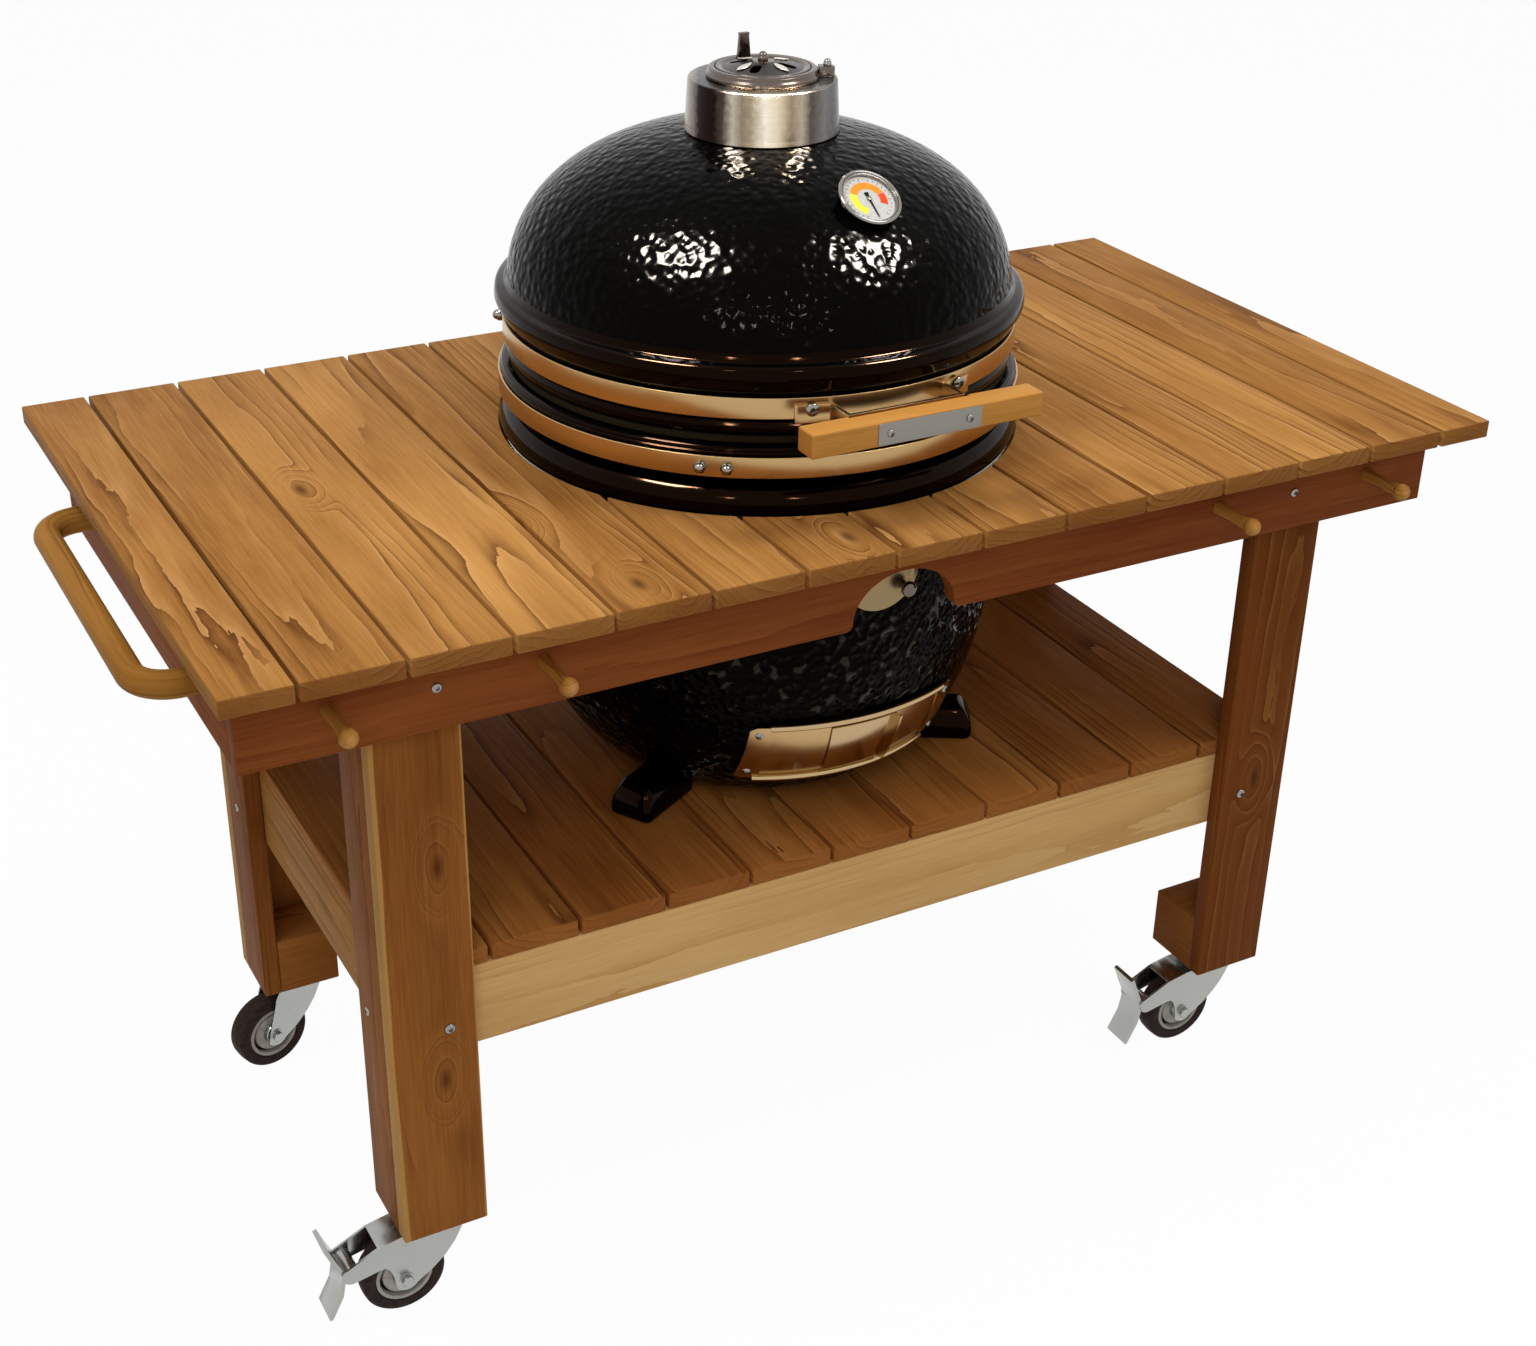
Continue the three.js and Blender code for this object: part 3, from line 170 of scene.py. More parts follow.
# Extrudes an outline along an axis, and rounds its sharp edges.
def extrude(bm, outline, span, through, ease=0, segments=2, place=Matrix(), paint=0, sharp=30):
    order = {"x": (1, 2, 0), "y": (0, 2, 1), "z": (0, 1, 2)}[through]
    rings = []
    for level in span:
        ring = []
        for u, v in outline:
            spot = [0, 0, 0]
            for axis, value in zip(order, (u, v, level)):
                spot[axis] = value
            ring.append(bm.verts.new(place @ Vector(spot) * mm))
        rings.append(ring)
    low, high = rings
    count = len(outline)
    faces = [bm.faces.new(low), bm.faces.new(high[::-1])]
    for i in range(count):
        n = (i + 1) % count
        faces.append(bm.faces.new([low[i], low[n], high[n], high[i]]))
    for face in faces:
        face.material_index = paint
    if ease:
        bmesh.ops.recalc_face_normals(bm, faces=faces)
        edges = {e for f in faces for e in f.edges}
        hard = [e for e in edges if e.calc_face_angle(0) > math.radians(sharp)]
        bmesh.ops.bevel(bm, geom=hard, offset=ease * mm, segments=segments, profile=0.5,
                        affect="EDGES", clamp_overlap=True)


def rectangle(u0, u1, v0, v1):
    return [(u0, v0), (u1, v0), (u1, v1), (u0, v1)]


def hexagon(radius):
    return [(radius * math.cos(math.pi / 3 * i), radius * math.sin(math.pi / 3 * i)) for i in range(6)]


def halfCircle(radius, start, steps, middle=(0, 0)):
    angles = [start + math.pi * k / steps for k in range(steps + 1)]
    return [(middle[0] + radius * math.cos(a), middle[1] + radius * math.sin(a)) for a in angles]


def setVectors(piece, layers):
    for key, values in layers.items():
        layer = piece.data.attributes.new(key, "FLOAT_VECTOR", "POINT")
        layer.data.foreach_set("vector", values)


# A copy of a CAD node with rounded edges, which stands for it.
def dressed(name, node, materials, body, ease=0.6, segments=2, sharp=40):
    bm = bmesh.new()
    bm.from_mesh(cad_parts[node].data)
    bmesh.ops.remove_doubles(bm, verts=bm.verts, dist=2e-6)
    bmesh.ops.dissolve_limit(bm, angle_limit=math.radians(1), verts=bm.verts, edges=bm.edges)
    hard = [e for e in bm.edges if e.is_manifold and e.calc_face_angle(0) > math.radians(sharp)]
    bmesh.ops.bevel(bm, geom=hard, offset=ease * mm, segments=segments, profile=0.5,
                    affect="EDGES", clamp_overlap=True)
    for face in bm.faces:
        face.material_index = 0
    return newPiece(name, bm, materials, body, [node])


# Cuts the cutters' shapes out of a piece and removes them.
def carve(piece, cutters, sharp=35):
    for cutter in cutters:
        modifier = piece.modifiers.new("carve", "BOOLEAN")
        modifier.operation = "DIFFERENCE"
        modifier.solver = "EXACT"
        modifier.object = cutter
    bpy.context.view_layer.update()
    whole = piece.evaluated_get(bpy.context.evaluated_depsgraph_get())
    piece.data = bpy.data.meshes.new_from_object(whole)
    piece.modifiers.clear()
    for cutter in cutters:
        bpy.data.objects.remove(cutter)
    smoothen(piece, sharp)


def cutterFrom(bm):
    bmesh.ops.recalc_face_normals(bm, faces=bm.faces)
    mesh = bpy.data.meshes.new("cutter")
    bm.to_mesh(mesh)
    bm.free()
    cutter = bpy.data.objects.new("cutter", mesh)
    bpy.context.scene.collection.objects.link(cutter)
    return cutter


# The local Z axis along a direction, at a place.
def facing(place, direction):
    turned = Vector(direction).to_track_quat("Z", "Y").to_matrix().to_4x4()
    return Matrix.Translation(place) @ turned


teakTop = {
    "dark": "#7F4F21", "light": "#BF8A4B", "line": "#53290E", "edge": "#D6A468", "end": "#7C4A20",
    "sap": "#CC9E60", "ring": 9, "swirl": 15, "ragged": 1.0, "figure": 1.0, "roughness": 0.5,
}
teakFrame = {
    "dark": "#75401A", "light": "#AB6F34", "line": "#4C260D", "edge": "#BC884C", "end": "#774520",
    "sap": "#BE9052", "ring": 8, "swirl": 13, "ragged": 1.0, "figure": 0.7, "roughness": 0.5,
}
teakApron = {
    "dark": "#74381A", "light": "#9C5C2C", "line": "#5A2A10", "edge": "#A96C38", "end": "#74421F",
    "sap": "#B07C44", "ring": 12, "swirl": 14, "ragged": 1.4, "figure": 0.35, "roughness": 0.55,
}
teakShelf = {
    "dark": "#80441A", "light": "#BC7C3C", "line": "#4C200A", "edge": "#CE9456", "end": "#8A5428",
    "sap": "#C08A50", "ring": 9, "swirl": 15, "ragged": 1.0, "figure": 1.0, "roughness": 0.5,
}
teakRail = {
    "dark": "#BE8C4E", "light": "#DFB67A", "line": "#A97636", "edge": "#E6C48E", "end": "#B4864C",
    "sap": "#E2BE86", "ring": 9, "swirl": 8, "ragged": 1.2, "figure": 0.5, "roughness": 0.5,
}
# Its end colour, paler than its faces, lights the fronts of the pegs' balls: painted light.
turnedTeak = {
    "dark": "#86561E", "light": "#BC8640", "line": "#56310F", "edge": "#CC9850", "end": "#C9975C",
    "sap": "#C1914F", "ring": 6, "swirl": 9, "ragged": 1.0, "figure": 0.8, "roughness": 0.4,
}
lacqueredAsh = {
    "dark": "#A66F2E", "light": "#CB9148", "line": "#94601F", "edge": "#DDA860", "end": "#A06A2C",
    "sap": "#DDB074", "ring": 7, "swirl": 7, "ragged": 0.8, "figure": 0.45, "roughness": 0.3,
}
# How far a field of the grain runs across and along it, in millimetres, and its detail. Pores are drawn
# 1.3 mm wide, coarser than real, so that they show.
grainFields = {
    "drift": (62, 520, 2), "ragged": (7, 46, 2), "pores": (1.3, 46, 2), "fleck": (3.6, 130, 1),
    "blotch": (75, 300, 2), "fade": (42, 230, 1),
}
grain = {
    # Rings bulge by "swell" round a knot, whose dark heart ends at "heartEnd". A knot is long along the board.
    "swellStart": 3, "swellEnd": 40, "swell": 30, "heartStart": 2, "heartEnd": 9, "heart": 0.7, "knotLong": 0.42,
    "heartColour": "#3E1F0A",
    # How unevenly rings are spaced, and how sharply their dark and their pale side end.
    "unevenScale": 0.45, "uneven": 1.7, "lateSharp": 5, "earlySharp": 7, "late": 0.85, "early": 0.45,
    "fadeFrom": 0.36, "fadeTo": 0.64, "leastFigure": 0.12,
    "toneShares": {"blotch": 0.9, "pores": 0.5, "fleck": 0.45},
    # Sapwood starts within 2 mm, along a line that wanders.
    "sapWander": 14, "sapFrom": 7, "sapTo": 9, "sap": 0.85, "end": 0.6, "bump": 0.3, "deep": 0.4,
}
farAway = [900, 900, 0]  # a knot that a board doesn't have


# Solid wood in the piece's own grain space: growth rings round a pith that lies off the board,
# so a broad face shows arches, an edge shows lines and an end shows rings. Each ring starts with a sharp
# dark line that fades. Oil leaves it satin.
def oiledWood(name, wood):
    material, tree, shader = startMaterial(name, {"IOR": 1.45, "Metallic": 0, "Specular IOR Level": 0.025})
    space = addNode(tree, "ShaderNodeAttribute", attribute_name="woodSpace").outputs["Vector"]
    board = addNode(tree, "ShaderNodeAttribute", attribute_name="boardTone").outputs["Vector"]
    traits = addNode(tree, "ShaderNodeSeparateXYZ", {0: board})
    end = addNode(tree, "ShaderNodeAttribute", attribute_name="endGrain").outputs["Fac"]
    field = {}
    for key, (across, along, detail) in grainFields.items():
        scaled = addNode(tree, "ShaderNodeVectorMath", {0: space, 1: (1 / across, 1 / along, 1 / across)},
                         operation="MULTIPLY").outputs[0]
        field[key] = addNode(tree, "ShaderNodeTexNoise", {"Vector": scaled, "Scale": 1, "Detail": detail}).outputs[0]

    flat = addNode(tree, "ShaderNodeVectorMath", {0: space, 1: (1, 0, 1)}, operation="MULTIPLY").outputs[0]
    out = addNode(tree, "ShaderNodeVectorMath", {0: flat}, operation="LENGTH").outputs["Value"]
    for key in ("swirl", "ragged"):
        moved = field["drift" if key == "swirl" else "ragged"]
        out = addNode(tree, "ShaderNodeMath", {0: moved, 1: wood[key] * 2, 2: out},
                      operation="MULTIPLY_ADD").outputs[0]
    # Round a knot the rings swell towards it.
    rings, heart = out, 0
    for key in ("knotSpace", "otherKnot"):
        knot = addNode(tree, "ShaderNodeAttribute", attribute_name=key).outputs["Vector"]
        away = addNode(tree, "ShaderNodeVectorMath", {0: knot, 1: (1, grain["knotLong"], 1)},
                       operation="MULTIPLY").outputs[0]
        away = addNode(tree, "ShaderNodeVectorMath", {0: away}, operation="LENGTH").outputs["Value"]
        swell = addNode(tree, "ShaderNodeMapRange", {
            "Value": away, "From Min": grain["swellStart"], "From Max": grain["swellEnd"],
            "To Min": grain["swell"], "To Max": 0}, interpolation_type="SMOOTHERSTEP").outputs[0]
        rings = addNode(tree, "ShaderNodeMath", {0: rings, 1: swell}, operation="ADD").outputs[0]
        core = addNode(tree, "ShaderNodeMapRange", {
            "Value": away, "From Min": grain["heartStart"], "From Max": grain["heartEnd"],
            "To Min": grain["heart"], "To Max": 0}).outputs[0]
        heart = addNode(tree, "ShaderNodeMath", {0: core, 1: heart}, operation="MAXIMUM").outputs[0]
    count = addNode(tree, "ShaderNodeMath", {0: rings, 1: 1 / wood["ring"]}, operation="MULTIPLY").outputs[0]
    uneven = addNode(tree, "ShaderNodeTexNoise", {"W": count, "Scale": grain["unevenScale"], "Detail": 1},
                     noise_dimensions="1D").outputs[0]
    count = addNode(tree, "ShaderNodeMath", {0: uneven, 1: grain["uneven"], 2: count},
                    operation="MULTIPLY_ADD").outputs[0]
    cycle = addNode(tree, "ShaderNodeMath", {0: count}, operation="FRACT").outputs[0]
    gone = addNode(tree, "ShaderNodeMath", {0: 1, 1: cycle}, operation="SUBTRACT").outputs[0]
    late = addNode(tree, "ShaderNodeMath", {0: gone, 1: grain["lateSharp"]}, operation="POWER").outputs[0]
    early = addNode(tree, "ShaderNodeMath", {0: cycle, 1: grain["earlySharp"]}, operation="POWER").outputs[0]
    show = addNode(tree, "ShaderNodeMapRange", {
        "Value": field["fade"], "From Min": grain["fadeFrom"], "From Max": grain["fadeTo"],
        "To Min": grain["leastFigure"], "To Max": wood["figure"]}).outputs[0]
    show = addNode(tree, "ShaderNodeMath", {0: show, 1: traits.outputs[2]}, operation="MULTIPLY").outputs[0]

    tone = traits.outputs[0]
    for key, share in grain["toneShares"].items():
        tone = addNode(tree, "ShaderNodeMath", {0: field[key], 1: share, 2: tone},
                       operation="MULTIPLY_ADD").outputs[0]
    # The fields lie round 0.5, so this brings a tone of 0.5 back to the middle of the two colours.
    least = sum(grain["toneShares"].values()) / 2
    tone = addNode(tree, "ShaderNodeMapRange", {"Value": tone, "From Min": least, "From Max": least + 1}).outputs[0]
    colour = addNode(tree, "ShaderNodeMix", {0: tone, 6: linear(wood["dark"]), 7: linear(wood["light"])},
                     data_type="RGBA").outputs[2]
    for part, key, share in ((late, "line", grain["late"]), (early, "edge", grain["early"])):
        part = addNode(tree, "ShaderNodeMath", {0: part, 1: show}, operation="MULTIPLY").outputs[0]
        part = addNode(tree, "ShaderNodeMath", {0: part, 1: share}, operation="MULTIPLY").outputs[0]
        colour = addNode(tree, "ShaderNodeMix", {0: part, 6: colour, 7: linear(wood[key])},
                         data_type="RGBA").outputs[2]
    # Pale sapwood lies beyond a line that wanders along the board's edges.
    aside = addNode(tree, "ShaderNodeSeparateXYZ", {0: space}).outputs[0]
    aside = addNode(tree, "ShaderNodeMath", {0: aside}, operation="ABSOLUTE").outputs[0]
    aside = addNode(tree, "ShaderNodeMath", {0: field["drift"], 1: grain["sapWander"], 2: aside},
                    operation="MULTIPLY_ADD").outputs[0]
    sapOut = addNode(tree, "ShaderNodeMath", {0: aside, 1: traits.outputs[1]}, operation="SUBTRACT").outputs[0]
    sapPart = addNode(tree, "ShaderNodeMapRange", {"Value": sapOut, "From Min": grain["sapFrom"],
                                                   "From Max": grain["sapTo"], "To Max": grain["sap"]},
                      interpolation_type="SMOOTHSTEP").outputs[0]
    endPart = addNode(tree, "ShaderNodeMath", {0: end, 1: grain["end"]}, operation="MULTIPLY").outputs[0]
    for part, shade in ((sapPart, wood["sap"]), (heart, grain["heartColour"]), (endPart, wood["end"])):
        colour = addNode(tree, "ShaderNodeMix", {0: part, 6: colour, 7: linear(shade)},
                         data_type="RGBA").outputs[2]
    tree.links.new(colour, shader.inputs["Base Color"])
    sheen = addNode(tree, "ShaderNodeMapRange", {"Value": field["pores"], "From Min": 0.3, "From Max": 0.7,
                                                 "To Min": wood["roughness"] + 0.1,
                                                 "To Max": wood["roughness"] - 0.05}).outputs[0]
    tree.links.new(sheen, shader.inputs["Roughness"])
    relief = addNode(tree, "ShaderNodeMath", {0: late, 1: -0.5, 2: field["pores"]},
                     operation="MULTIPLY_ADD").outputs[0]
    bump = addNode(tree, "ShaderNodeBump", {"Strength": grain["bump"], "Distance": grain["deep"] * mm,
                                            "Height": relief}).outputs[0]
    tree.links.new(bump, shader.inputs["Normal"])
    return material


glazeFlow = {"smooth": 0.6, "wave": 0.9}  # how far the glaze has filled its dimples, and its wave's share


# Thick black glaze over ceramic: a mirror broken up by dimples, which gives glints in clusters. "crest" is how
# strongly the highest of them mirror, from the height "crestFrom" to "crestTo": painted glints on the crests.
def pebbledGlaze(name, glaze):
    material, tree, shader = startMaterial(name, {"Base Color": linear(glaze["colour"]), "IOR": 1.5,
                                                  "Roughness": glaze["roughness"],
                                                  "Specular IOR Level": glaze["specular"],
                                                  "Specular Tint": linear(glaze.get("tint", "#FFFFFF"))})
    spot = addNode(tree, "ShaderNodeTexCoord").outputs["Object"]
    dimple = addNode(tree, "ShaderNodeTexVoronoi", {"Vector": spot, "Scale": 1000 / glaze["dimple"],
                                                    "Smoothness": glazeFlow["smooth"]},
                     feature="SMOOTH_F1").outputs["Distance"]
    wave = addNode(tree, "ShaderNodeTexNoise", {"Vector": spot, "Scale": 1000 / glaze["wave"],
                                                "Detail": 1}).outputs[0]
    height = addNode(tree, "ShaderNodeMath", {0: wave, 1: glazeFlow["wave"], 2: dimple},
                     operation="MULTIPLY_ADD").outputs[0]
    if "crest" in glaze:
        shine = addNode(tree, "ShaderNodeMapRange", {
            "Value": height, "From Min": glaze["crestFrom"], "From Max": glaze["crestTo"],
            "To Min": glaze["specular"], "To Max": glaze["crest"]}).outputs[0]
        tree.links.new(shine, shader.inputs["Specular IOR Level"])
    bump = addNode(tree, "ShaderNodeBump", {"Strength": glaze["strength"], "Distance": glaze["deep"] * mm,
                                            "Height": height}).outputs[0]
    tree.links.new(bump, shader.inputs["Normal"])
    return material


metalSheen = {"from": 0.6, "to": 1.4, "deep": 0.2}


# Brushed or cast metal: fine scratches along one way, a little uneven in sheen.
def workedMetal(name, metal):
    material, tree, shader = startMaterial(name, {"Base Color": linear(metal["colour"]), "Metallic": 1,
                                                  "Roughness": metal["roughness"]})
    spot = addNode(tree, "ShaderNodeTexCoord").outputs["Object"]
    brush = addNode(tree, "ShaderNodeVectorMath", {0: spot, 1: metal["brush"]}, operation="MULTIPLY").outputs[0]
    lines = addNode(tree, "ShaderNodeTexNoise", {"Vector": brush, "Scale": 1, "Detail": 3}).outputs[0]
    cloud = addNode(tree, "ShaderNodeTexNoise", {"Vector": spot, "Scale": 1000 / metal["cloud"],
                                                 "Detail": 3}).outputs[0]
    both = addNode(tree, "ShaderNodeMath", {0: lines, 1: cloud}, operation="ADD").outputs[0]
    sheen = addNode(tree, "ShaderNodeMapRange", {"Value": both, "From Min": metalSheen["from"],
                                                 "From Max": metalSheen["to"],
                                                 "To Min": metal["roughness"] - metal["uneven"],
                                                 "To Max": metal["roughness"] + metal["uneven"]}).outputs[0]
    tree.links.new(sheen, shader.inputs["Roughness"])
    if "bands" in metal:
        # Painted reflection: soft bands from top to bottom, as a satin cylinder would mirror them, along a line
        # across the collar.
        reach = 2 * metal["radius"] * mm
        line = [part / reach for part in metal["line"]]
        across = addNode(tree, "ShaderNodeVectorMath", {0: spot, 1: (cooker["x"] * mm, cooker["y"] * mm, 0)},
                         operation="SUBTRACT").outputs[0]
        across = addNode(tree, "ShaderNodeVectorMath", {0: across, 1: line},
                         operation="DOT_PRODUCT").outputs["Value"]
        speckle = addNode(tree, "ShaderNodeMath", {0: cloud, 1: metal["speckle"], 2: across},
                          operation="MULTIPLY_ADD").outputs[0]
        place = addNode(tree, "ShaderNodeMath", {0: speckle, 1: (1 - metal["speckle"]) / 2},
                        operation="ADD").outputs[0]
        colour = addNode(tree, "ShaderNodeValToRGB", {0: place}, stops=metal["bands"]).outputs[0]
        tree.links.new(colour, shader.inputs["Base Color"])
    bump = addNode(tree, "ShaderNodeBump", {"Strength": metal["bump"], "Distance": metalSheen["deep"] * mm,
                                            "Height": both}).outputs[0]
    tree.links.new(bump, shader.inputs["Normal"])
    return material


dullSpecular = 0.06  # keeps the white studio's veil off dull surfaces


# Moulded, woven, fired or cast stuff: a mottled colour over a grain of its own size.
def grainedStuff(name, stuff):
    material, tree, shader = startMaterial(name, {"Roughness": stuff["roughness"], "IOR": 1.5,
                                                  "Specular IOR Level": dullSpecular,
                                                  "Metallic": stuff.get("metallic", 0)})
    spot = addNode(tree, "ShaderNodeTexCoord").outputs["Object"]
    fine = addNode(tree, "ShaderNodeTexNoise", {"Vector": spot, "Scale": 1000 / stuff["grain"],
                                                "Detail": 3}).outputs[0]
    colour = addNode(tree, "ShaderNodeValToRGB", {0: fine},
                     stops=[(0.3, stuff["colours"][0]), (0.7, stuff["colours"][1])]).outputs[0]
    tree.links.new(colour, shader.inputs["Base Color"])
    bump = addNode(tree, "ShaderNodeBump", {"Strength": stuff["bump"], "Distance": stuff["deep"] * mm,
                                            "Height": fine}).outputs[0]
    tree.links.new(bump, shader.inputs["Normal"])
    return material


around = 1000 / 0.8  # scratches 0.8 mm apart, coarser than real so that they show
oiledTeakTop = oiledWood("oiledTeakTop", teakTop)
oiledTeakFrame = oiledWood("oiledTeakFrame", teakFrame)
oiledTeakShelf = oiledWood("oiledTeakShelf", teakShelf)
oiledTeakRail = oiledWood("oiledTeakRail", teakRail)
oiledTeakApron = oiledWood("oiledTeakApron", teakApron)
turnedTeakRound = oiledWood("turnedTeakRound", turnedTeak)
lacqueredAshBar = oiledWood("lacqueredAshBar", lacqueredAsh)
# The dome's glaze. Its warm specular tint is a painted warm reflection.
blackPebbledGlaze = pebbledGlaze("blackPebbledGlaze", {
    "colour": "#020202", "roughness": 0.13, "specular": 0.034, "tint": "#FBF0E0",
    "dimple": 10, "wave": 17, "strength": 1.0, "deep": 1.5})
# The same glaze in the shade under the top, where what it mirrors is dim: a shaded copy, with painted glints on
# its crests and a warm specular tint that is a painted reflection of the wood.
shadedPebbledGlaze = pebbledGlaze("shadedPebbledGlaze", {
    "colour": "#020202", "roughness": 0.1, "specular": 0.03, "tint": "#E2CDA6",
    "crest": 0.27, "crestFrom": 1.14, "crestTo": 1.29,
    "dimple": 10, "wave": 17, "strength": 1.0, "deep": 3.2})
# Smooth glaze of the rims and feet. Its reddish specular tint is a painted reflection of the wood round it.
blackSmoothGlaze = pebbledGlaze("blackSmoothGlaze", {
    "colour": "#020202", "roughness": 0.09, "specular": 0.1, "tint": "#F0A878",
    "dimple": 26, "wave": 30, "strength": 0.4, "deep": 0.5})
# Rolled band, brushed along its length: a soft bright streak. Its tan colour is a painted reflection of the wood
# round it.
brushedStainless = workedMetal("brushedStainless", {
    "colour": "#BC9C6C", "roughness": 0.24, "uneven": 0.03, "brush": (30, 30, around), "cloud": 60, "bump": 0.06})
# The port's disc, satin. Its dark tan colour is painted shade from the apron and a painted reflection of the wood
# round it.
satinStainless = workedMetal("satinStainless", {
    "colour": "#8E7A58", "roughness": 0.3, "uneven": 0.05, "brush": (60, 60, 60), "cloud": 40, "bump": 0.05})
# Folded sheet with a mill polish: a clearer reflection than the brushed band's. Its tan colour is a painted
# reflection of the wood.
polishedStainless = workedMetal("polishedStainless", {
    "colour": "#BBA077", "roughness": 0.16, "uneven": 0.04, "brush": (30, 30, around), "cloud": 50, "bump": 0.08})
# Spun and blasted collar. Its colour is a painted reflection: broad dark and bright bands with a speckle in them.
spunStainless = workedMetal("spunStainless", {
    "colour": "#C9BBA6", "radius": 84, "line": (0.881, -0.473, 0), "speckle": 0.05,
    "bands": [(0, "#A0968C"), (0.05, "#7A7066"), (0.09, "#1E1411"), (0.19, "#1E1411"), (0.25, "#4A4038"),
              (0.31, "#B5A99C"), (0.37, "#867866"), (0.43, "#9F9076"), (0.52, "#EDE2D0"), (0.6, "#D8C9AC"),
              (0.68, "#94826A"), (0.75, "#AA9E8C"), (0.81, "#544A42"), (0.9, "#72716F"), (0.98, "#343230")],
    "roughness": 0.22, "uneven": 0.08, "brush": (40, 40, around), "cloud": 7, "bump": 0.16})
# Cast cap, tumbled smooth. Its vanes' brightness and its hollow's dark are painted highlight and painted shade, in
# the two materials below.
castStainless = workedMetal("castStainless", {
    "colour": "#6A6058", "roughness": 0.2, "uneven": 0.07, "brush": (300, 300, 300), "cloud": 9, "bump": 0.3})
# The vanes, painted brighter than the rest of the cap: a painted highlight.
brightStainless = workedMetal("brightStainless", {
    "colour": "#E6DDD2", "roughness": 0.3, "uneven": 0.05, "brush": (200, 200, 200), "cloud": 12, "bump": 0.1})
# The same casting in its hollow, painted dark: painted shade.
sootedStainless = workedMetal("sootedStainless", {
    "colour": "#1E1613", "roughness": 0.28, "uneven": 0.08, "brush": (300, 300, 300), "cloud": 9, "bump": 0.3})
polishedChrome = workedMetal("polishedChrome", {
    "colour": "#918D88", "roughness": 0.12, "uneven": 0.04, "brush": (200, 200, 200), "cloud": 12, "bump": 0.05})
# Zinc-plated sheet: pale, a little cloudy, never a mirror.
zincPlatedSteel = workedMetal("zincPlatedSteel", {
    "colour": "#A9AAA6", "roughness": 0.26, "uneven": 0.06, "brush": (90, 90, 90), "cloud": 30, "bump": 0.04})
brushedPlate = workedMetal("brushedPlate", {
    "colour": "#8C8880", "roughness": 0.36, "uneven": 0.06, "brush": (30, around, around), "cloud": 30, "bump": 0.2})
mouldedRubber = grainedStuff("mouldedRubber", {
    "colours": ["#2A211F", "#3F3330"], "roughness": 0.62, "grain": 6, "bump": 0.2, "deep": 0.3})
mouldedNylon = grainedStuff("mouldedNylon", {
    "colours": ["#A5A29A", "#BCB9B0"], "roughness": 0.45, "grain": 8, "bump": 0.1, "deep": 0.2})
# A dark ring on the floor of the wheels' groove: painted shade.
blackNylon = grainedStuff("blackNylon", {
    "colours": ["#141312", "#1E1C1A"], "roughness": 0.4, "grain": 3, "bump": 0.2, "deep": 0.2})
pressedFelt = grainedStuff("pressedFelt", {
    "colours": ["#17130A", "#2C2415"], "roughness": 0.95, "grain": 1.6, "bump": 0.8, "deep": 0.6})
bisqueCeramic = grainedStuff("bisqueCeramic", {
    "colours": ["#A8937A", "#C4B197"], "roughness": 0.85, "grain": 5, "bump": 0.4, "deep": 0.4})
castIronGrate = grainedStuff("castIronGrate", {
    "colours": ["#1B1A19", "#2E2C2A"], "roughness": 0.6, "grain": 2.5, "bump": 0.6, "deep": 0.4, "metallic": 0.6})
dialEnamel = grainedStuff("dialEnamel", {
    "colours": ["#BDBBB6", "#CDCBC6"], "roughness": 0.35, "grain": 4, "bump": 0.02, "deep": 0.05})
yellowInk = grainedStuff("yellowInk", {
    "colours": ["#E2E23A", "#ECE84E"], "roughness": 0.4, "grain": 4, "bump": 0.02, "deep": 0.05})
orangeInk = grainedStuff("orangeInk", {
    "colours": ["#EE8A22", "#F29A3A"], "roughness": 0.4, "grain": 4, "bump": 0.02, "deep": 0.05})
redInk = grainedStuff("redInk", {
    "colours": ["#E0431C", "#E6552C"], "roughness": 0.4, "grain": 4, "bump": 0.02, "deep": 0.05})
blackPaint = grainedStuff("blackPaint", {
    "colours": ["#0C0C0C", "#161616"], "roughness": 0.45, "grain": 3, "bump": 0.05, "deep": 0.1})
print("materials are made")


pithAway = {"across": 38, "along": 9000, "least": 45, "most": 120}  # where a board's pith may lie from its middle


# Gives a wooden piece its grain: how far each point is across, along and through from the pith, where its
# knots are, how light the board is, how far from its middle pale sapwood starts, how strong its figure is, and
# which faces cut across the grain. Sap is the width of the sapwood along each edge.
def giveGrain(piece, seed, across, along, through, tone, sap=None, knots=(), flip=1, figure=1):
    dice = random.Random(seed)
    points = [v.co / mm for v in piece.data.vertices]
    a, g, d = (axisNumber[k] for k in (across, along, through))
    middle = [(min(p[k] for p in points) + max(p[k] for p in points)) / 2 for k in range(3)]
    pith = (dice.uniform(-pithAway["across"], pithAway["across"]), dice.uniform(0, pithAway["along"]),
            flip * dice.uniform(pithAway["least"], pithAway["most"]))
    if sap:
        pith = (0, *pith[1:])
    sapStart = max(p[a] for p in points) - middle[a] - sap if sap else farAway[0]
    knots = [*knots, None, None][:2]
    layers = {"woodSpace": [], "knotSpace": [], "otherKnot": [], "boardTone": []}
    for p in points:
        layers["woodSpace"] += [p[a] - middle[a] + pith[0], p[g] + pith[1], p[d] - middle[d] + pith[2]]
        for key, knot in zip(("knotSpace", "otherKnot"), knots):
            layers[key] += [p[a] - knot[0], p[g] - knot[1], 0] if knot else farAway
        layers["boardTone"] += [tone, sapStart, figure]
    setVectors(piece, layers)
    cross = [abs(face.normal[g]) ** 4 for face in piece.data.polygons]
    piece.data.attributes.new("endGrain", "FLOAT", "FACE").data.foreach_set("value", cross)


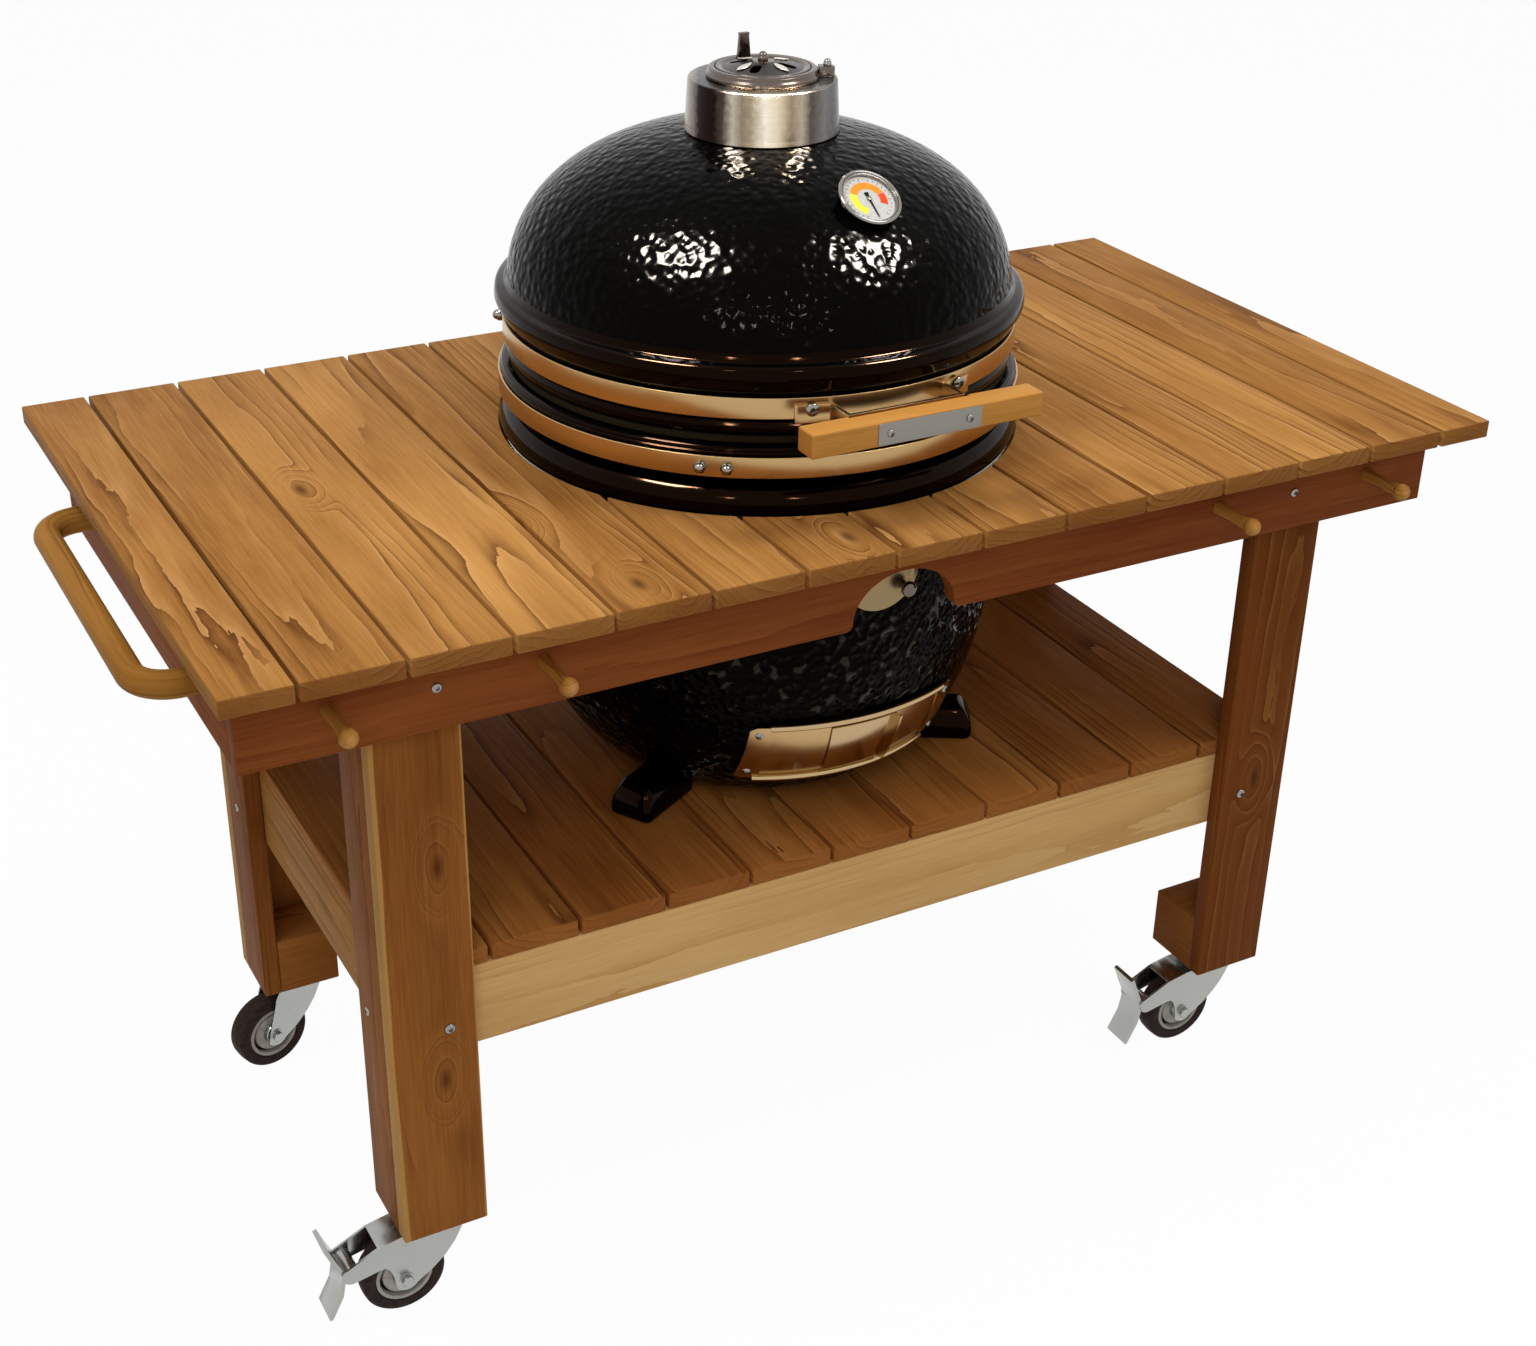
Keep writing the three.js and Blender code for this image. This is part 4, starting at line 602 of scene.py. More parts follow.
# A board of the table, rounded along its edges.
def plank(name, outline, span, through, along, wood, slot, tone=0.5, ease=1.5, replaces=(), **traits):
    bm = bmesh.new()
    extrude(bm, outline, span, through, ease)
    piece = newPiece(name, bm, [wood], "table", replaces, sharp=50)
    across = ({"x", "y", "z"} - {through, along}).pop()
    giveGrain(piece, name, across, along, through, tone, **traits)
    return piece


top = {
    "gap": 4.8, "width": 101, "hole": 301, "ease": 1.6, "stagger": 1.4, "cleat": 15, "cleatTone": 0.4,
    "firstCut": 5, "lastCut": 9,  # the boards that the hole cuts in two, counted from 0
    "tones": [0.42, 0.35, 0.62, 0.72, 0.38, 0.45, 0.35, 0.55, 0.5, 0.3, 0.55, 0.4, 0.62, 0.38, 0.5],
    "knots": {2: [(-527, 24)], 4: [(-302, -345), (-352, -150)], 6: [(-60, -340)]},
}


# The outlines of what the round hole leaves of a board: two short ends, a bitten board or the whole one.
def topOutlines(x0, x1, y0, y1):
    r = top["hole"]
    u0, u1 = x0 - cooker["x"], x1 - cooker["x"]
    if min(abs(u0), abs(u1)) >= r:
        return [rectangle(x0, x1, y0, y1)]

    def arc(x):
        return math.sqrt(r * r - (x - cooker["x"]) ** 2)

    steps = 24
    if max(abs(u0), abs(u1)) < r:
        row = [x0 + (x1 - x0) * i / steps for i in range(steps + 1)]
        front = [(x0, y0), (x1, y0)] + [(x, cooker["y"] - arc(x)) for x in reversed(row)]
        back = [(x, cooker["y"] + arc(x)) for x in row] + [(x1, y1), (x0, y1)]
        return [front, back]
    side = x1 if u1 < 0 else x0
    limit = math.asin(arc(side) / r)
    away = -1 if u1 < 0 else 1
    bite = []
    for i in range(steps + 1):
        angle = limit * (2 * i / steps - 1)
        bite.append((cooker["x"] + away * r * math.cos(angle), cooker["y"] + r * math.sin(angle)))
    if away < 0:
        return [[(x0, y0), (x1, y0)] + bite + [(x1, y1), (x0, y1)]]
    return [[(x0, y0), (x1, y0), (x1, y1), (x0, y1)] + bite[::-1]]


def buildTop():
    low, high = nodeBox("top_board_01")
    dice = random.Random("stagger")
    pitch = top["width"] + top["gap"]
    first = nodeBox("top_board_02")[0].x
    for i in range(len(top["tones"])):
        node = "top_board_%02d" % (i + 1)
        cut = top["firstCut"] <= i <= top["lastCut"]
        if cut:
            x0 = first + (i - 1) * pitch
            x1 = x0 + top["width"]
        else:
            x0, x1 = nodeBox(node)[0].x, nodeBox(node)[1].x
        y0 = low.y + dice.uniform(0, top["stagger"])
        outlines = topOutlines(x0, x1, y0, high.y - dice.uniform(0, top["stagger"]))
        for k, outline in enumerate(outlines):
            stands = [node]
            if cut:
                stands = [["top_front_boards", "top_back_boards"][k]]
            name = "top_plank_%02d" % (i + 1) + ("_back" if k else "")
            plank(name, outline, (low.z, high.z), "z", "y", oiledTeakTop, "top_teak", top["tones"][i],
                  top["ease"], stands, knots=top["knots"].get(i, ()), flip=-1)
    # The cleats that carry the cut boards.
    for end in ("front", "back"):
        cleatLow, cleatHigh = nodeBox("top_%s_boards" % end)
        y0 = nodeBox(end + "_apron")[1].y + seatGap
        plank(end + "_cleat", rectangle(cleatLow.x, cleatHigh.x, y0, y0 + top["cleat"]), (cleatLow.z, low.z),
              "z", "x", oiledTeakFrame, "top_teak", top["cleatTone"])


apron = {
    "stock": 21.5, "notchHalf": 64, "notchHeight": 59, "flare": 8, "ease": 1.2,
    "tones": {"front_apron": 0.3, "back_apron": 0.4, "left_apron": 0.45, "right_apron": 0.35},
}
# The pegs' places are shares of the top's length. They narrow from the root to the waist.
peg = {
    "places": [-0.422, -0.276, 0.276, 0.422], "length": 1524, "reach": 60.6, "ball": 10, "root": 7.5,
    "rootEnd": 3, "waist": 6.4, "waistStart": 14, "waistEnd": 32, "sunk": 6, "tone": 0.55,
}


# An apron or a rail: a board on edge that fills its node's box and runs along its longer side.
def uprightBoard(node, wood, slot, tone, ease, **traits):
    low, high = nodeBox(node)
    if high.x - low.x > high.y - low.y:
        plank(node + "_board", rectangle(low.x, high.x, low.z, high.z), (low.y, high.y), "y", "x", wood, slot,
              tone, ease, [node], **traits)
    else:
        plank(node + "_board", rectangle(low.y, high.y, low.z, high.z), (low.x, high.x), "x", "y", wood, slot,
              tone, ease, [node], **traits)


def buildAprons():
    low, high = nodeBox("front_apron")
    x, half, flare = cooker["x"], apron["notchHalf"], apron["flare"]
    archSteps, flareSteps = 32, 4
    arch = []
    for i in range(archSteps + 1):
        angle = math.pi * (1 - i / archSteps)
        arch.append((x + half * math.cos(angle),
                     low.z + flare + (apron["notchHeight"] - flare) * math.sin(angle)))
    # A small fillet each side leads from the lower edge into the arch.
    left = [Vector(arch[0]) + Vector((-flare * (1 - math.sin(a)), -flare * math.cos(a)))
            for a in (math.pi / 2 * i / flareSteps for i in range(flareSteps))]
    left = [(p.x, p.y) for p in left]
    right = [(2 * x - u, v) for u, v in reversed(left)]
    outline = [(low.x, low.z)] + left + arch + right + [
        (high.x, low.z), (high.x, high.z), (low.x, high.z)]
    plank("front_apron_board", outline, (high.y - apron["stock"], high.y), "y", "x", oiledTeakApron,
          "frame_teak", apron["tones"]["front_apron"], apron["ease"], ["front_apron"], flip=1)
    for node in ("back_apron", "left_apron", "right_apron"):
        uprightBoard(node, oiledTeakApron, "frame_teak", apron["tones"][node], apron["ease"])
    face = high.y - apron["stock"]
    reach, ball, waist = peg["reach"], peg["ball"], peg["waist"]
    profile = [(0, -peg["sunk"]), (peg["root"], -peg["sunk"]), (peg["root"], peg["rootEnd"]),
               (waist + 0.4, peg["waistStart"]), (waist, peg["waistEnd"]), (waist + 0.5, reach - ball * 0.8)]
    ballStart, ballTurn, ballSteps = -50, 140, 8
    for k in range(ballSteps + 1):
        angle = math.radians(ballStart + ballTurn * k / ballSteps)
        profile.append((ball * math.cos(angle), reach + ball * math.sin(angle)))
    profile[-1] = (0, reach + ball)
    for i, share in enumerate(peg["places"]):
        bm = bmesh.new()
        place = facing((x + share * peg["length"], face, (low.z + high.z) / 2), (0, -1, 0))
        lathe(bm, profile, place, 32, closed=False)
        piece = newPiece("tool_peg_%d" % (i + 1), bm, [turnedTeakRound], "table")
        giveGrain(piece, piece.name, "x", "y", "z", peg["tone"])


leg = {
    "stock": 21.5, "block": 78, "ease": 1.6, "joint": 0.15, "blockTone": 0.5,
    "knots": {"front_left_leg": [(-520, 336), (-515, 607)], "front_right_leg": [(575, 420)]},
    "sap": {"front_left_leg": 6, "back_left_leg": 5},
    # How light the broad board and the side board are.
    "tones": {"front_left": (0.5, 0.35), "front_right": (-0.15, -0.3), "back_left": (0.5, 0.3),
              "back_right": (0.4, 0.35)},
}


def buildLegs():
    for side, sideX in (("left", -1), ("right", 1)):
        for end, sideY in (("front", -1), ("back", 1)):
            corner = "%s_%s" % (end, side)
            node = corner + "_leg"
            broadTone, sideTone = leg["tones"][corner]
            low, high = nodeBox(node)
            stock, gap = leg["stock"], leg["joint"]
            broadY = (low.y, low.y + stock) if sideY < 0 else (high.y - stock, high.y)
            innerY = (broadY[1] + gap, high.y) if sideY < 0 else (low.y, broadY[0] - gap)
            sideXs = (low.x, low.x + stock) if sideX < 0 else (high.x - stock, high.x)
            blockX = (sideXs[1] + gap, high.x) if sideX < 0 else (low.x, sideXs[0] - gap)
            # Sapwood shows along one edge of the broad board.
            plank(node + "_broad", rectangle(low.x, high.x, low.z, high.z), broadY, "y", "z", oiledTeakFrame,
                  "frame_teak", broadTone, leg["ease"], [node], sap=leg["sap"].get(node),
                  knots=leg["knots"].get(node, ()), flip=sideY)
            plank(node + "_side", rectangle(*innerY, low.z, high.z), sideXs, "x", "z", oiledTeakFrame,
                  "frame_teak", sideTone, leg["ease"], [node], flip=sideX)
            plank(node + "_block", rectangle(*blockX, *innerY), (low.z, low.z + leg["block"]), "z", "x",
                  oiledTeakFrame, "frame_teak", leg["blockTone"], leg["ease"], [node])


shelf = {
    "boards": 11, "thick": 21, "ease": 1.6, "cleat": 21.5, "cleatEnd": 22, "cleatTone": 0.4,
    "railTones": {"front_rail": 0.7, "back_rail": 0.5, "left_rail": 0.6, "right_rail": 0.5},
    "darkest": 0.3, "lightest": 0.7,
}


def buildShelf():
    s = shelf
    for node, tone in s["railTones"].items():
        if node in ("front_rail", "back_rail"):
            uprightBoard(node, oiledTeakRail, "pale_teak", tone, s["ease"], flip=-1)
        else:
            uprightBoard(node, oiledTeakTop, "pale_teak", tone, s["ease"])
    low, high = nodeBox("shelf_deck")
    width = (high.x - low.x - (s["boards"] - 1) * top["gap"]) / s["boards"]
    dice = random.Random("shelf")
    for i in range(s["boards"]):
        x0 = low.x + i * (width + top["gap"])
        plank("shelf_plank_%02d" % (i + 1), rectangle(x0, x0 + width, low.y, high.y),
              (high.z - s["thick"], high.z), "z", "y", oiledTeakShelf, "top_teak",
              dice.uniform(s["darkest"], s["lightest"]), s["ease"], ["shelf_deck"], flip=-1)
    for end, side in (("front", 1), ("back", -1)):
        railLow, railHigh = nodeBox(end + "_rail")
        y = railHigh.y + seatGap if side > 0 else railLow.y - seatGap - s["cleat"]
        plank(end + "_shelf_cleat",
              rectangle(railLow.x + s["cleatEnd"], railHigh.x - s["cleatEnd"], y, y + s["cleat"]),
              (low.z, high.z - s["thick"] - 0.2), "z", "x", oiledTeakFrame, "top_teak", s["cleatTone"])


# The round end handle. "inset" is how far its legs' middle lies inside the node's ends.
grip = {"radius": 14.8, "reach": 56.2, "bend": 40, "inset": 15, "straight": 11, "tone": 0.4, "pith": (34, 22)}


def buildGrip():
    low, high = nodeBox("end_handle")
    start, z = high.x, (low.z + high.z) / 2
    y0, y1 = low.y + grip["inset"], high.y - grip["inset"]
    out, bend, radius = grip["reach"] - grip["bend"], grip["bend"], grip["radius"]
    bendSteps, barSteps, sides = 12, 6, 28
    bends = [(start - out - bend * math.sin(a), bend * (1 - math.cos(a)))
             for a in (math.pi / 2 * i / bendSteps for i in range(bendSteps + 1))]
    path = [(start, y0), (start - grip["straight"], y0)] + [(x, y0 + run) for x, run in bends]
    path += [(start - grip["reach"], y0 + (y1 - y0) * k / barSteps) for k in range(1, barSteps)]
    path += [(x, y1 - run) for x, run in reversed(bends)] + [(start - grip["straight"], y1), (start, y1)]
    bm = bmesh.new()
    rings, space, travelled = [], [], 0
    for i, (x, y) in enumerate(path):
        before, after = path[max(i - 1, 0)], path[min(i + 1, len(path) - 1)]
        if i < 2:
            before, after = path[0], (path[0][0] - 1, path[0][1])
        if i >= len(path) - 2:
            before, after = (path[-1][0] - 1, path[-1][1]), path[-1]
        ahead = Vector((after[0] - before[0], after[1] - before[1], 0)).normalized()
        side = Vector((-ahead.y, ahead.x, 0))
        travelled += (Vector((x, y)) - Vector(path[max(i - 1, 0)])).length
        ring = []
        for k in range(sides):
            angle = 2 * math.pi * k / sides
            a, b = radius * math.cos(angle), radius * math.sin(angle)
            ring.append(bm.verts.new((Vector((x, y, z)) + side * a + Vector((0, 0, b))) * mm))
            space += [a + grip["pith"][0], travelled, b + grip["pith"][1]]
        rings.append(ring)
    for a, b in zip(rings, rings[1:]):
        for k in range(sides):
            n = (k + 1) % sides
            bm.faces.new([a[k], a[n], b[n], b[k]])
    bm.faces.new(rings[0])
    bm.faces.new(rings[-1][::-1])
    piece = newPiece("end_grip", bm, [turnedTeakRound], "table", ["end_handle"])
    count = len(piece.data.vertices)
    setVectors(piece, {"woodSpace": space, "knotSpace": farAway * count, "otherKnot": farAway * count,
                       "boardTone": [grip["tone"], farAway[0], 1] * count})


buildTop()
buildAprons()
buildLegs()
buildShelf()
buildGrip()
print("the table's wood is made")


# The ceramic shells. Heights are measured from the table's top face.
bowl = {
    "radius": 287.5, "shoulder": -67.7, "bottom": -402, "flatShare": 0.8939, "power": 2.98, "wall": 25,
    "neck": -14, "rim": 297.4, "rimTop": 76,
    # The thick roll under the band: its radius, how deep and half how tall it is, and its middle's height.
    "roll": (300.6, 23, 24, 8),
}
bowl["deep"] = (bowl["shoulder"] - bowl["bottom"]) / bowl["flatShare"]
dome = {
    "radius": 287.7, "centre": 143.9, "rise": 193.2, "power": 2.35, "wall": 22, "mouth": 55,
    "rim": 290.6, "low": 85, "lip": 263, "bulge": 301.5, "bulgeHeight": 151, "crease": 170,
}
band = {"height": 23.4, "thick": 2, "low": 42, "lidLow": 105.7, "seat": 0.3}


# The bowl's radius at a height and the dome's height at a radius. An inset gives the inside of the wall.
def bowlRadius(z, inset=0):
    deep = max((bowl["shoulder"] - z) / (bowl["deep"] - inset), 0)
    return (bowl["radius"] - inset) * (1 - deep ** bowl["power"]) ** (1 / bowl["power"])


def domeHeight(r, inset=0):
    share = max(1 - (r / (dome["radius"] - inset)) ** dome["power"], 0)
    return dome["centre"] + (dome["rise"] - inset) * share ** (1 / dome["power"])


def bowlLine(low, high, count, inset=0):
    heights = [low + (high - low) * i / count for i in range(count + 1)]
    return [(bowlRadius(z, inset), z) for z in heights]


# The opening behind the draft door, as a tool that cuts it.
def draftOpening():
    middle, half = (draft["low"] + draft["high"]) / 2, draft["port"] / 2
    bm = bmesh.new()
    lathe(bm, rectangle(*draft["cut"], middle - half, middle + half), sides=12, start=-draft["window"] / 2,
          turn=draft["window"])
    return cutterFrom(bm)


def buildBowl():
    bottom, rim, radius, wall = (bowl[key] for key in ("bottom", "rim", "radius", "wall"))
    line = [(0, bottom), (bowlRadius(bottom) - 6, bottom)] + bowlLine(bottom + 2, bowl["shoulder"], 30)
    bm = bmesh.new()
    lathe(bm, line + [(radius, bowl["neck"])], sides=128, closed=False)
    # The thick rolled rim under the band, and a narrower one above it.
    out, deep, tall, middle = bowl["roll"]
    roll = [(out - deep + deep * math.cos(t), middle + tall * math.sin(t))
            for t in (math.radians(a) for a in range(-30, 84, 6))]
    under, over = band["low"] + 1, band["low"] + band["height"] - 1
    edge = rounded([(radius, bowl["neck"]), *roll, (rim - 2.5, under - 3, 1), (rim - 2.5, under, 1),
                    (rim - 2.5, over, 1), (rim - 0.4, over + 2.2, 1.2), (rim, over + 4.5, 1),
                    (rim - 1.7, over + 5.6, 0.8), (rim - 0.9, over + 7.4, 1.2), (rim - 2.6, over + 10, 1.6),
                    (rim - 6, bowl["rimTop"], 1), (radius - wall, bowl["rimTop"])], closed=False, steps=5)
    lathe(bm, edge, sides=160, closed=False, paint=1)
    floor = bottom + wall
    inside = [(0, floor)] + bowlLine(floor, bowl["shoulder"], 16, wall) + [(radius - wall, bowl["rimTop"])]
    lathe(bm, inside, sides=128, closed=False, paint=2)
    piece = newPiece("kamado_bowl", bm, [shadedPebbledGlaze, blackSmoothGlaze, bisqueCeramic], "table",
                     ["base_bowl"], sharp=45)
    carve(piece, [draftOpening()], 45)


def buildDome():
    names = ("radius", "mouth", "wall", "rim", "low", "bulge", "crease")
    radius, mouth, wall, rim, low, bulge, crease = (dome[name] for name in names)
    outerSteps, innerSteps = 40, 20
    line = []
    for i in range(outerSteps + 1):
        r = mouth + (radius - mouth) * math.sin(math.pi / 2 * (1 - i / outerSteps))
        if domeHeight(r) > crease + 1:
            line.append((r, domeHeight(r)))
    bm = bmesh.new()
    lathe(bm, line[::-1] + [(mouth, domeHeight(mouth) - wall)], sides=160, closed=False)
    # The flare from the crease down over the bulge, the band's seat and the rolled lower edge.
    flare = rounded([line[0], (radius - 0.6, crease + 1, 2), (radius + 1.5, crease - 4, 4),
                     (bulge - 2.2, dome["bulgeHeight"] + 12, 6), (bulge, dome["bulgeHeight"], 9),
                     (bulge - 7, 138, 8), (rim - 1, 131, 3), (rim - 1.6, 127, 1), (rim - 1.6, 107, 1),
                     (rim - 6.5, 104.4, 1.5), (rim - 2.4, 101, 3), (rim - 0.1, 96, 4), (rim - 0.9, 90, 3),
                     (rim - 5, low, 3), (dome["lip"], low)], closed=False, steps=5)
    lathe(bm, flare, sides=160, closed=False, paint=1)
    inner = [(dome["lip"], low), (radius - wall, dome["centre"])]
    for i in range(1, innerSteps + 1):
        r = mouth + (radius - wall - mouth) * math.sin(math.pi / 2 * (1 - i / innerSteps))
        inner.append((r, domeHeight(r, wall)))
    inner[-1] = (mouth, domeHeight(mouth) - wall)
    lathe(bm, inner, sides=128, closed=False, paint=2)
    newPiece("kamado_dome", bm, [blackPebbledGlaze, blackSmoothGlaze, bisqueCeramic], "lid",
             ["lid_dome"], sharp=45)


gasket = {"radius": 287, "width": 24, "low": 76.3, "high": 84.7}


def buildGasket():
    bm = bmesh.new()
    r, inner, low, high = gasket["radius"], gasket["radius"] - gasket["width"], gasket["low"], gasket["high"]
    profile = rounded([(inner, low), (r, low, 3), (r, high, 3), (inner, high)])
    lathe(bm, profile, sides=128)
    newPiece("felt_gasket", bm, [pressedFelt], "table", ["gasket"])


hinge = {"out": 325, "height": 96, "eye": 11, "lug": 40, "arm": 28, "plate": 4, "pin": 5}
# Screws round the bands: angle and kind. The button heads lie on the tabs of the handle's bracket.
bandScrews = {
    "base_band": [(-39.8, "acorn"), (-34.4, "acorn")],
    "lid_band": [(-17.5, "button"), (17.5, "button"), (-116, "acorn")],
}
bandScrew = {"size": 7.4, "tab": 4.6}


# A flat hoop round a rim. Gives back its outer radius.
def ringBand(name, node, radius, low, body):
    bm = bmesh.new()
    inner = radius + band["seat"]
    profile = rounded([(inner, low), (inner + band["thick"], low, 0.8),
                       (inner + band["thick"], low + band["height"], 1.4),
                       (inner, low + band["height"])], steps=3)
    lathe(bm, profile, sides=192)
    newPiece(name, bm, [brushedStainless], body, [node])
    return inner + band["thick"]


def hingePlate(name, outline, x, body, node):
    bm = bmesh.new()
    extrude(bm, outline, (x - hinge["plate"] / 2, x + hinge["plate"] / 2), "x", 0.8, place=onCooker)
    newPiece(name, bm, [brushedStainless], body, [node])


def buildBands():
    out = ringBand("bowl_band", "base_band", bowl["rim"], band["low"], "table")
    h = hinge
    eye = h["eye"]
    lug = rounded([(out - 5, band["low"]), (out + 5, band["low"], 3), (h["out"] + eye, h["height"] - 5, 8),
                   (h["out"] + eye, h["height"] + eye, 9), (h["out"] - eye, h["height"] + eye, 9),
                   (h["out"] - eye, h["height"]), (out, band["low"] + band["height"]),
                   (out - 5, band["low"] + band["height"])])
    for i, side in enumerate((-1, 1)):
        hingePlate("hinge_lug_%d" % (i + 1), lug, side * h["lug"], "table", "base_band")
    bm = bmesh.new()
    reach = h["lug"] + h["plate"] / 2
    place = onCooker @ facing((0, h["out"], h["height"]), (1, 0, 0))
    pin = rounded([(0, -reach), (h["pin"], -reach, 1), (h["pin"], reach, 1), (0, reach)], closed=False)
    lathe(bm, pin, place, 24, closed=False)
    newPiece("hinge_pin", bm, [zincPlatedSteel], "table", ["base_band"])

    out = ringBand("lid_ring_band", "lid_band", dome["rim"], band["lidLow"], "lid")
    low, high = band["lidLow"] + 2, band["lidLow"] + band["height"] - 2
    arm = rounded([(out - 5, low), (out + 2, low, 4), (h["out"] - eye, h["height"] - 5, 6),
                   (h["out"] - 7, h["height"] - eye, 6), (h["out"] + eye, h["height"] - eye, 9),
                   (h["out"] + eye, h["height"] + eye, 9), (out + eye, high, 5), (out - 5, high)])
    for i, side in enumerate((-1, 1)):
        hingePlate("hinge_arm_%d" % (i + 1), arm, side * h["arm"], "lid", "lid_band")


# A fastener of one of three kinds: a domed acorn nut, a hexagonal nut on its washer, or a socket button head.
def screw(name, kind, place, direction, r, material, body):
    bm = bmesh.new()
    at = facing(place, direction)
    if kind == "acorn":
        extrude(bm, hexagon(r), (-0.5, r * 0.75), "z", r * 0.12, 1, at)
        profile = [(r * 0.8 * math.cos(t), r * 0.7 + r * 0.85 * math.sin(t))
                   for t in (math.pi / 2 * k / 7 for k in range(8))]
        profile[-1] = (0, profile[-1][1])
        lathe(bm, [(0, r * 0.5), (r * 0.8, r * 0.5)] + profile, at, 20, closed=False)
    elif kind == "hex":
        washer = rounded([(0, -0.4), (r * 1.25, -0.4), (r * 1.25, 0.8, 0.4), (0, 0.8)], closed=False)
        lathe(bm, washer, at, 24, closed=False)
        extrude(bm, hexagon(r), (0.6, r * 0.8), "z", r * 0.1, 1, at)
    else:
        # A low round head with a hexagonal socket.
        high, socket = r * 0.5, r * 0.45
        profile = [(r, -0.6), (r, high * 0.25)]
        profile += [(r * math.cos(t), high * 0.25 + high * 0.75 * math.sin(t)) for t in (0.35, 0.7, 1.0)]
        profile += [(socket, high), (socket * 0.92, high * 0.2), (0, high * 0.2)]
        lathe(bm, profile, at, 24, closed=False)
    newPiece(name, bm, [material], body)


# A place on the cooker's outside, and the way it faces.
def aroundCooker(angle, radius, z):
    a = math.radians(angle)
    return (cooker["x"] + radius * math.sin(a), cooker["y"] - radius * math.cos(a), cooker["top"] + z), \
        (math.sin(a), -math.cos(a), 0)


def buildBandScrews():
    number = 0
    for node, places in bandScrews.items():
        lid = node == "lid_band"
        radius = (dome["rim"] if lid else bowl["rim"]) + band["seat"] + band["thick"]
        z = (band["lidLow"] if lid else band["low"]) + band["height"] / 2
        for angle, kind in places:
            number += 1
            place, direction = aroundCooker(angle, radius + (bandScrew["tab"] if kind == "button" else 0), z)
            screw("band_screw_%d" % number, kind, place, direction, bandScrew["size"], polishedChrome,
                  "lid" if lid else "table")


# The rabbet along the top of the bar's back takes the bracket: its length, depth and height.
bar = {"length": 280, "shift": 9.8, "deep": 30, "high": 27, "round": 3.5, "z": 108.5, "out": 340.5,
       "rabbet": (146, 5, 3), "tone": 0.6}
plate = {"length": 125, "high": 24, "thick": 1, "screws": 48, "screwSize": 4.2}


def buildHandle():
    dressed("handle_bracket", "lid_handle_bracket", [brushedStainless], "lid", 0.5)
    half, tall = bar["length"] / 2, bar["high"] / 2
    x, y, z = cooker["x"] + bar["shift"], cooker["y"] - bar["out"], cooker["top"] + bar["z"]
    bm = bmesh.new()
    extrude(bm, rounded([(x + u, z + v, 3) for u, v in rectangle(-half, half, -tall, tall)], steps=6),
            (y - bar["deep"] / 2, y + bar["deep"] / 2), "y", bar["round"], 4, sharp=50)
    piece = newPiece("handle_bar", bm, [lacqueredAshBar], "lid", ["lid_handle_bar"], sharp=40)
    run, deep, down = bar["rabbet"]
    back = y + bar["deep"] / 2
    bm = bmesh.new()
    extrude(bm, rectangle(cooker["x"] - run / 2, cooker["x"] + run / 2, back - deep, back + deep),
            (z + tall - down, z + tall + down), "z")
    carve(piece, [cutterFrom(bm)], 40)
    giveGrain(piece, "handle_bar", "z", "x", "y", bar["tone"])
    front, face = y - bar["deep"] / 2, y - bar["deep"] / 2 - plate["thick"]
    half, tall = plate["length"] / 2, plate["high"] / 2
    bm = bmesh.new()
    extrude(bm, rounded([(x + u, z + v, 2) for u, v in rectangle(-half, half, -tall, tall)]), (face, front + 0.3),
            "y", 0.3)
    newPiece("handle_plate", bm, [brushedPlate], "lid")
    for i, side in enumerate((-1, 1)):
        screw("plate_screw_%d" % (i + 1), "button", (x + side * plate["screws"], face, z), (0, -1, 0),
              plate["screwSize"], polishedChrome, "lid")


chimney = {"base": 86.3, "top": 81.9, "high": 389.6, "wall": 2.5, "mouth": 50}
cap = {"low": 389.9, "radius": 62.4, "top": 60, "high": 400.9, "rim": 7, "seat": 3.5, "web": 59, "lugAngle": 66,
       "lugOut": 70.5, "lug": 8.5, "lugBack": 9.5, "screw": 5.2}
damper = {"radius": 52, "low": 397.7, "cone": 9, "thick": 2, "hub": 9, "slotIn": 17, "slotOut": 38, "slotWidth": 11,
          "vaneAt": 28, "vaneLong": 24, "vaneWide": 9, "vaneAngle": -29, "nut": 6.4, "tab": (42.5, 47.5)}


# Tools for the four long holes through the cap's web and the damper.
def slotCutters(z0, z1):
    half = damper["slotWidth"] / 2
    line = halfCircle(half, 0, 8, (0, damper["slotOut"] - half))
    line += halfCircle(half, math.pi, 8, (0, damper["slotIn"] + half))
    cutters = []
    for i in range(4):
        bm = bmesh.new()
        extrude(bm, line, (z0, z1), "z", place=onCooker @ Matrix.Rotation(math.pi / 2 * (i + 0.5), 4, "Z"))
        cutters.append(cutterFrom(bm))
    return cutters


def buildChimney():
    base, upper, high, wall, mouth = (chimney[key] for key in ("base", "top", "high", "wall", "mouth"))
    bm = bmesh.new()
    seat = domeHeight(base) + 0.8
    profile = rounded([(base - wall, seat + 2), (base - wall, seat), (base, seat, 0.8), (base - 1, seat + 6, 3),
                       (upper + 0.6, high - 5, 3), (upper, high, 3), (mouth + 3, high, 1), (mouth, high - 1, 1),
                       (mouth, high - 2.5), (upper - wall, high - 2.5)], steps=4)
    lathe(bm, profile, sides=128)
    newPiece("chimney_sleeve", bm, [spunStainless], "lid", ["chimney_collar"])


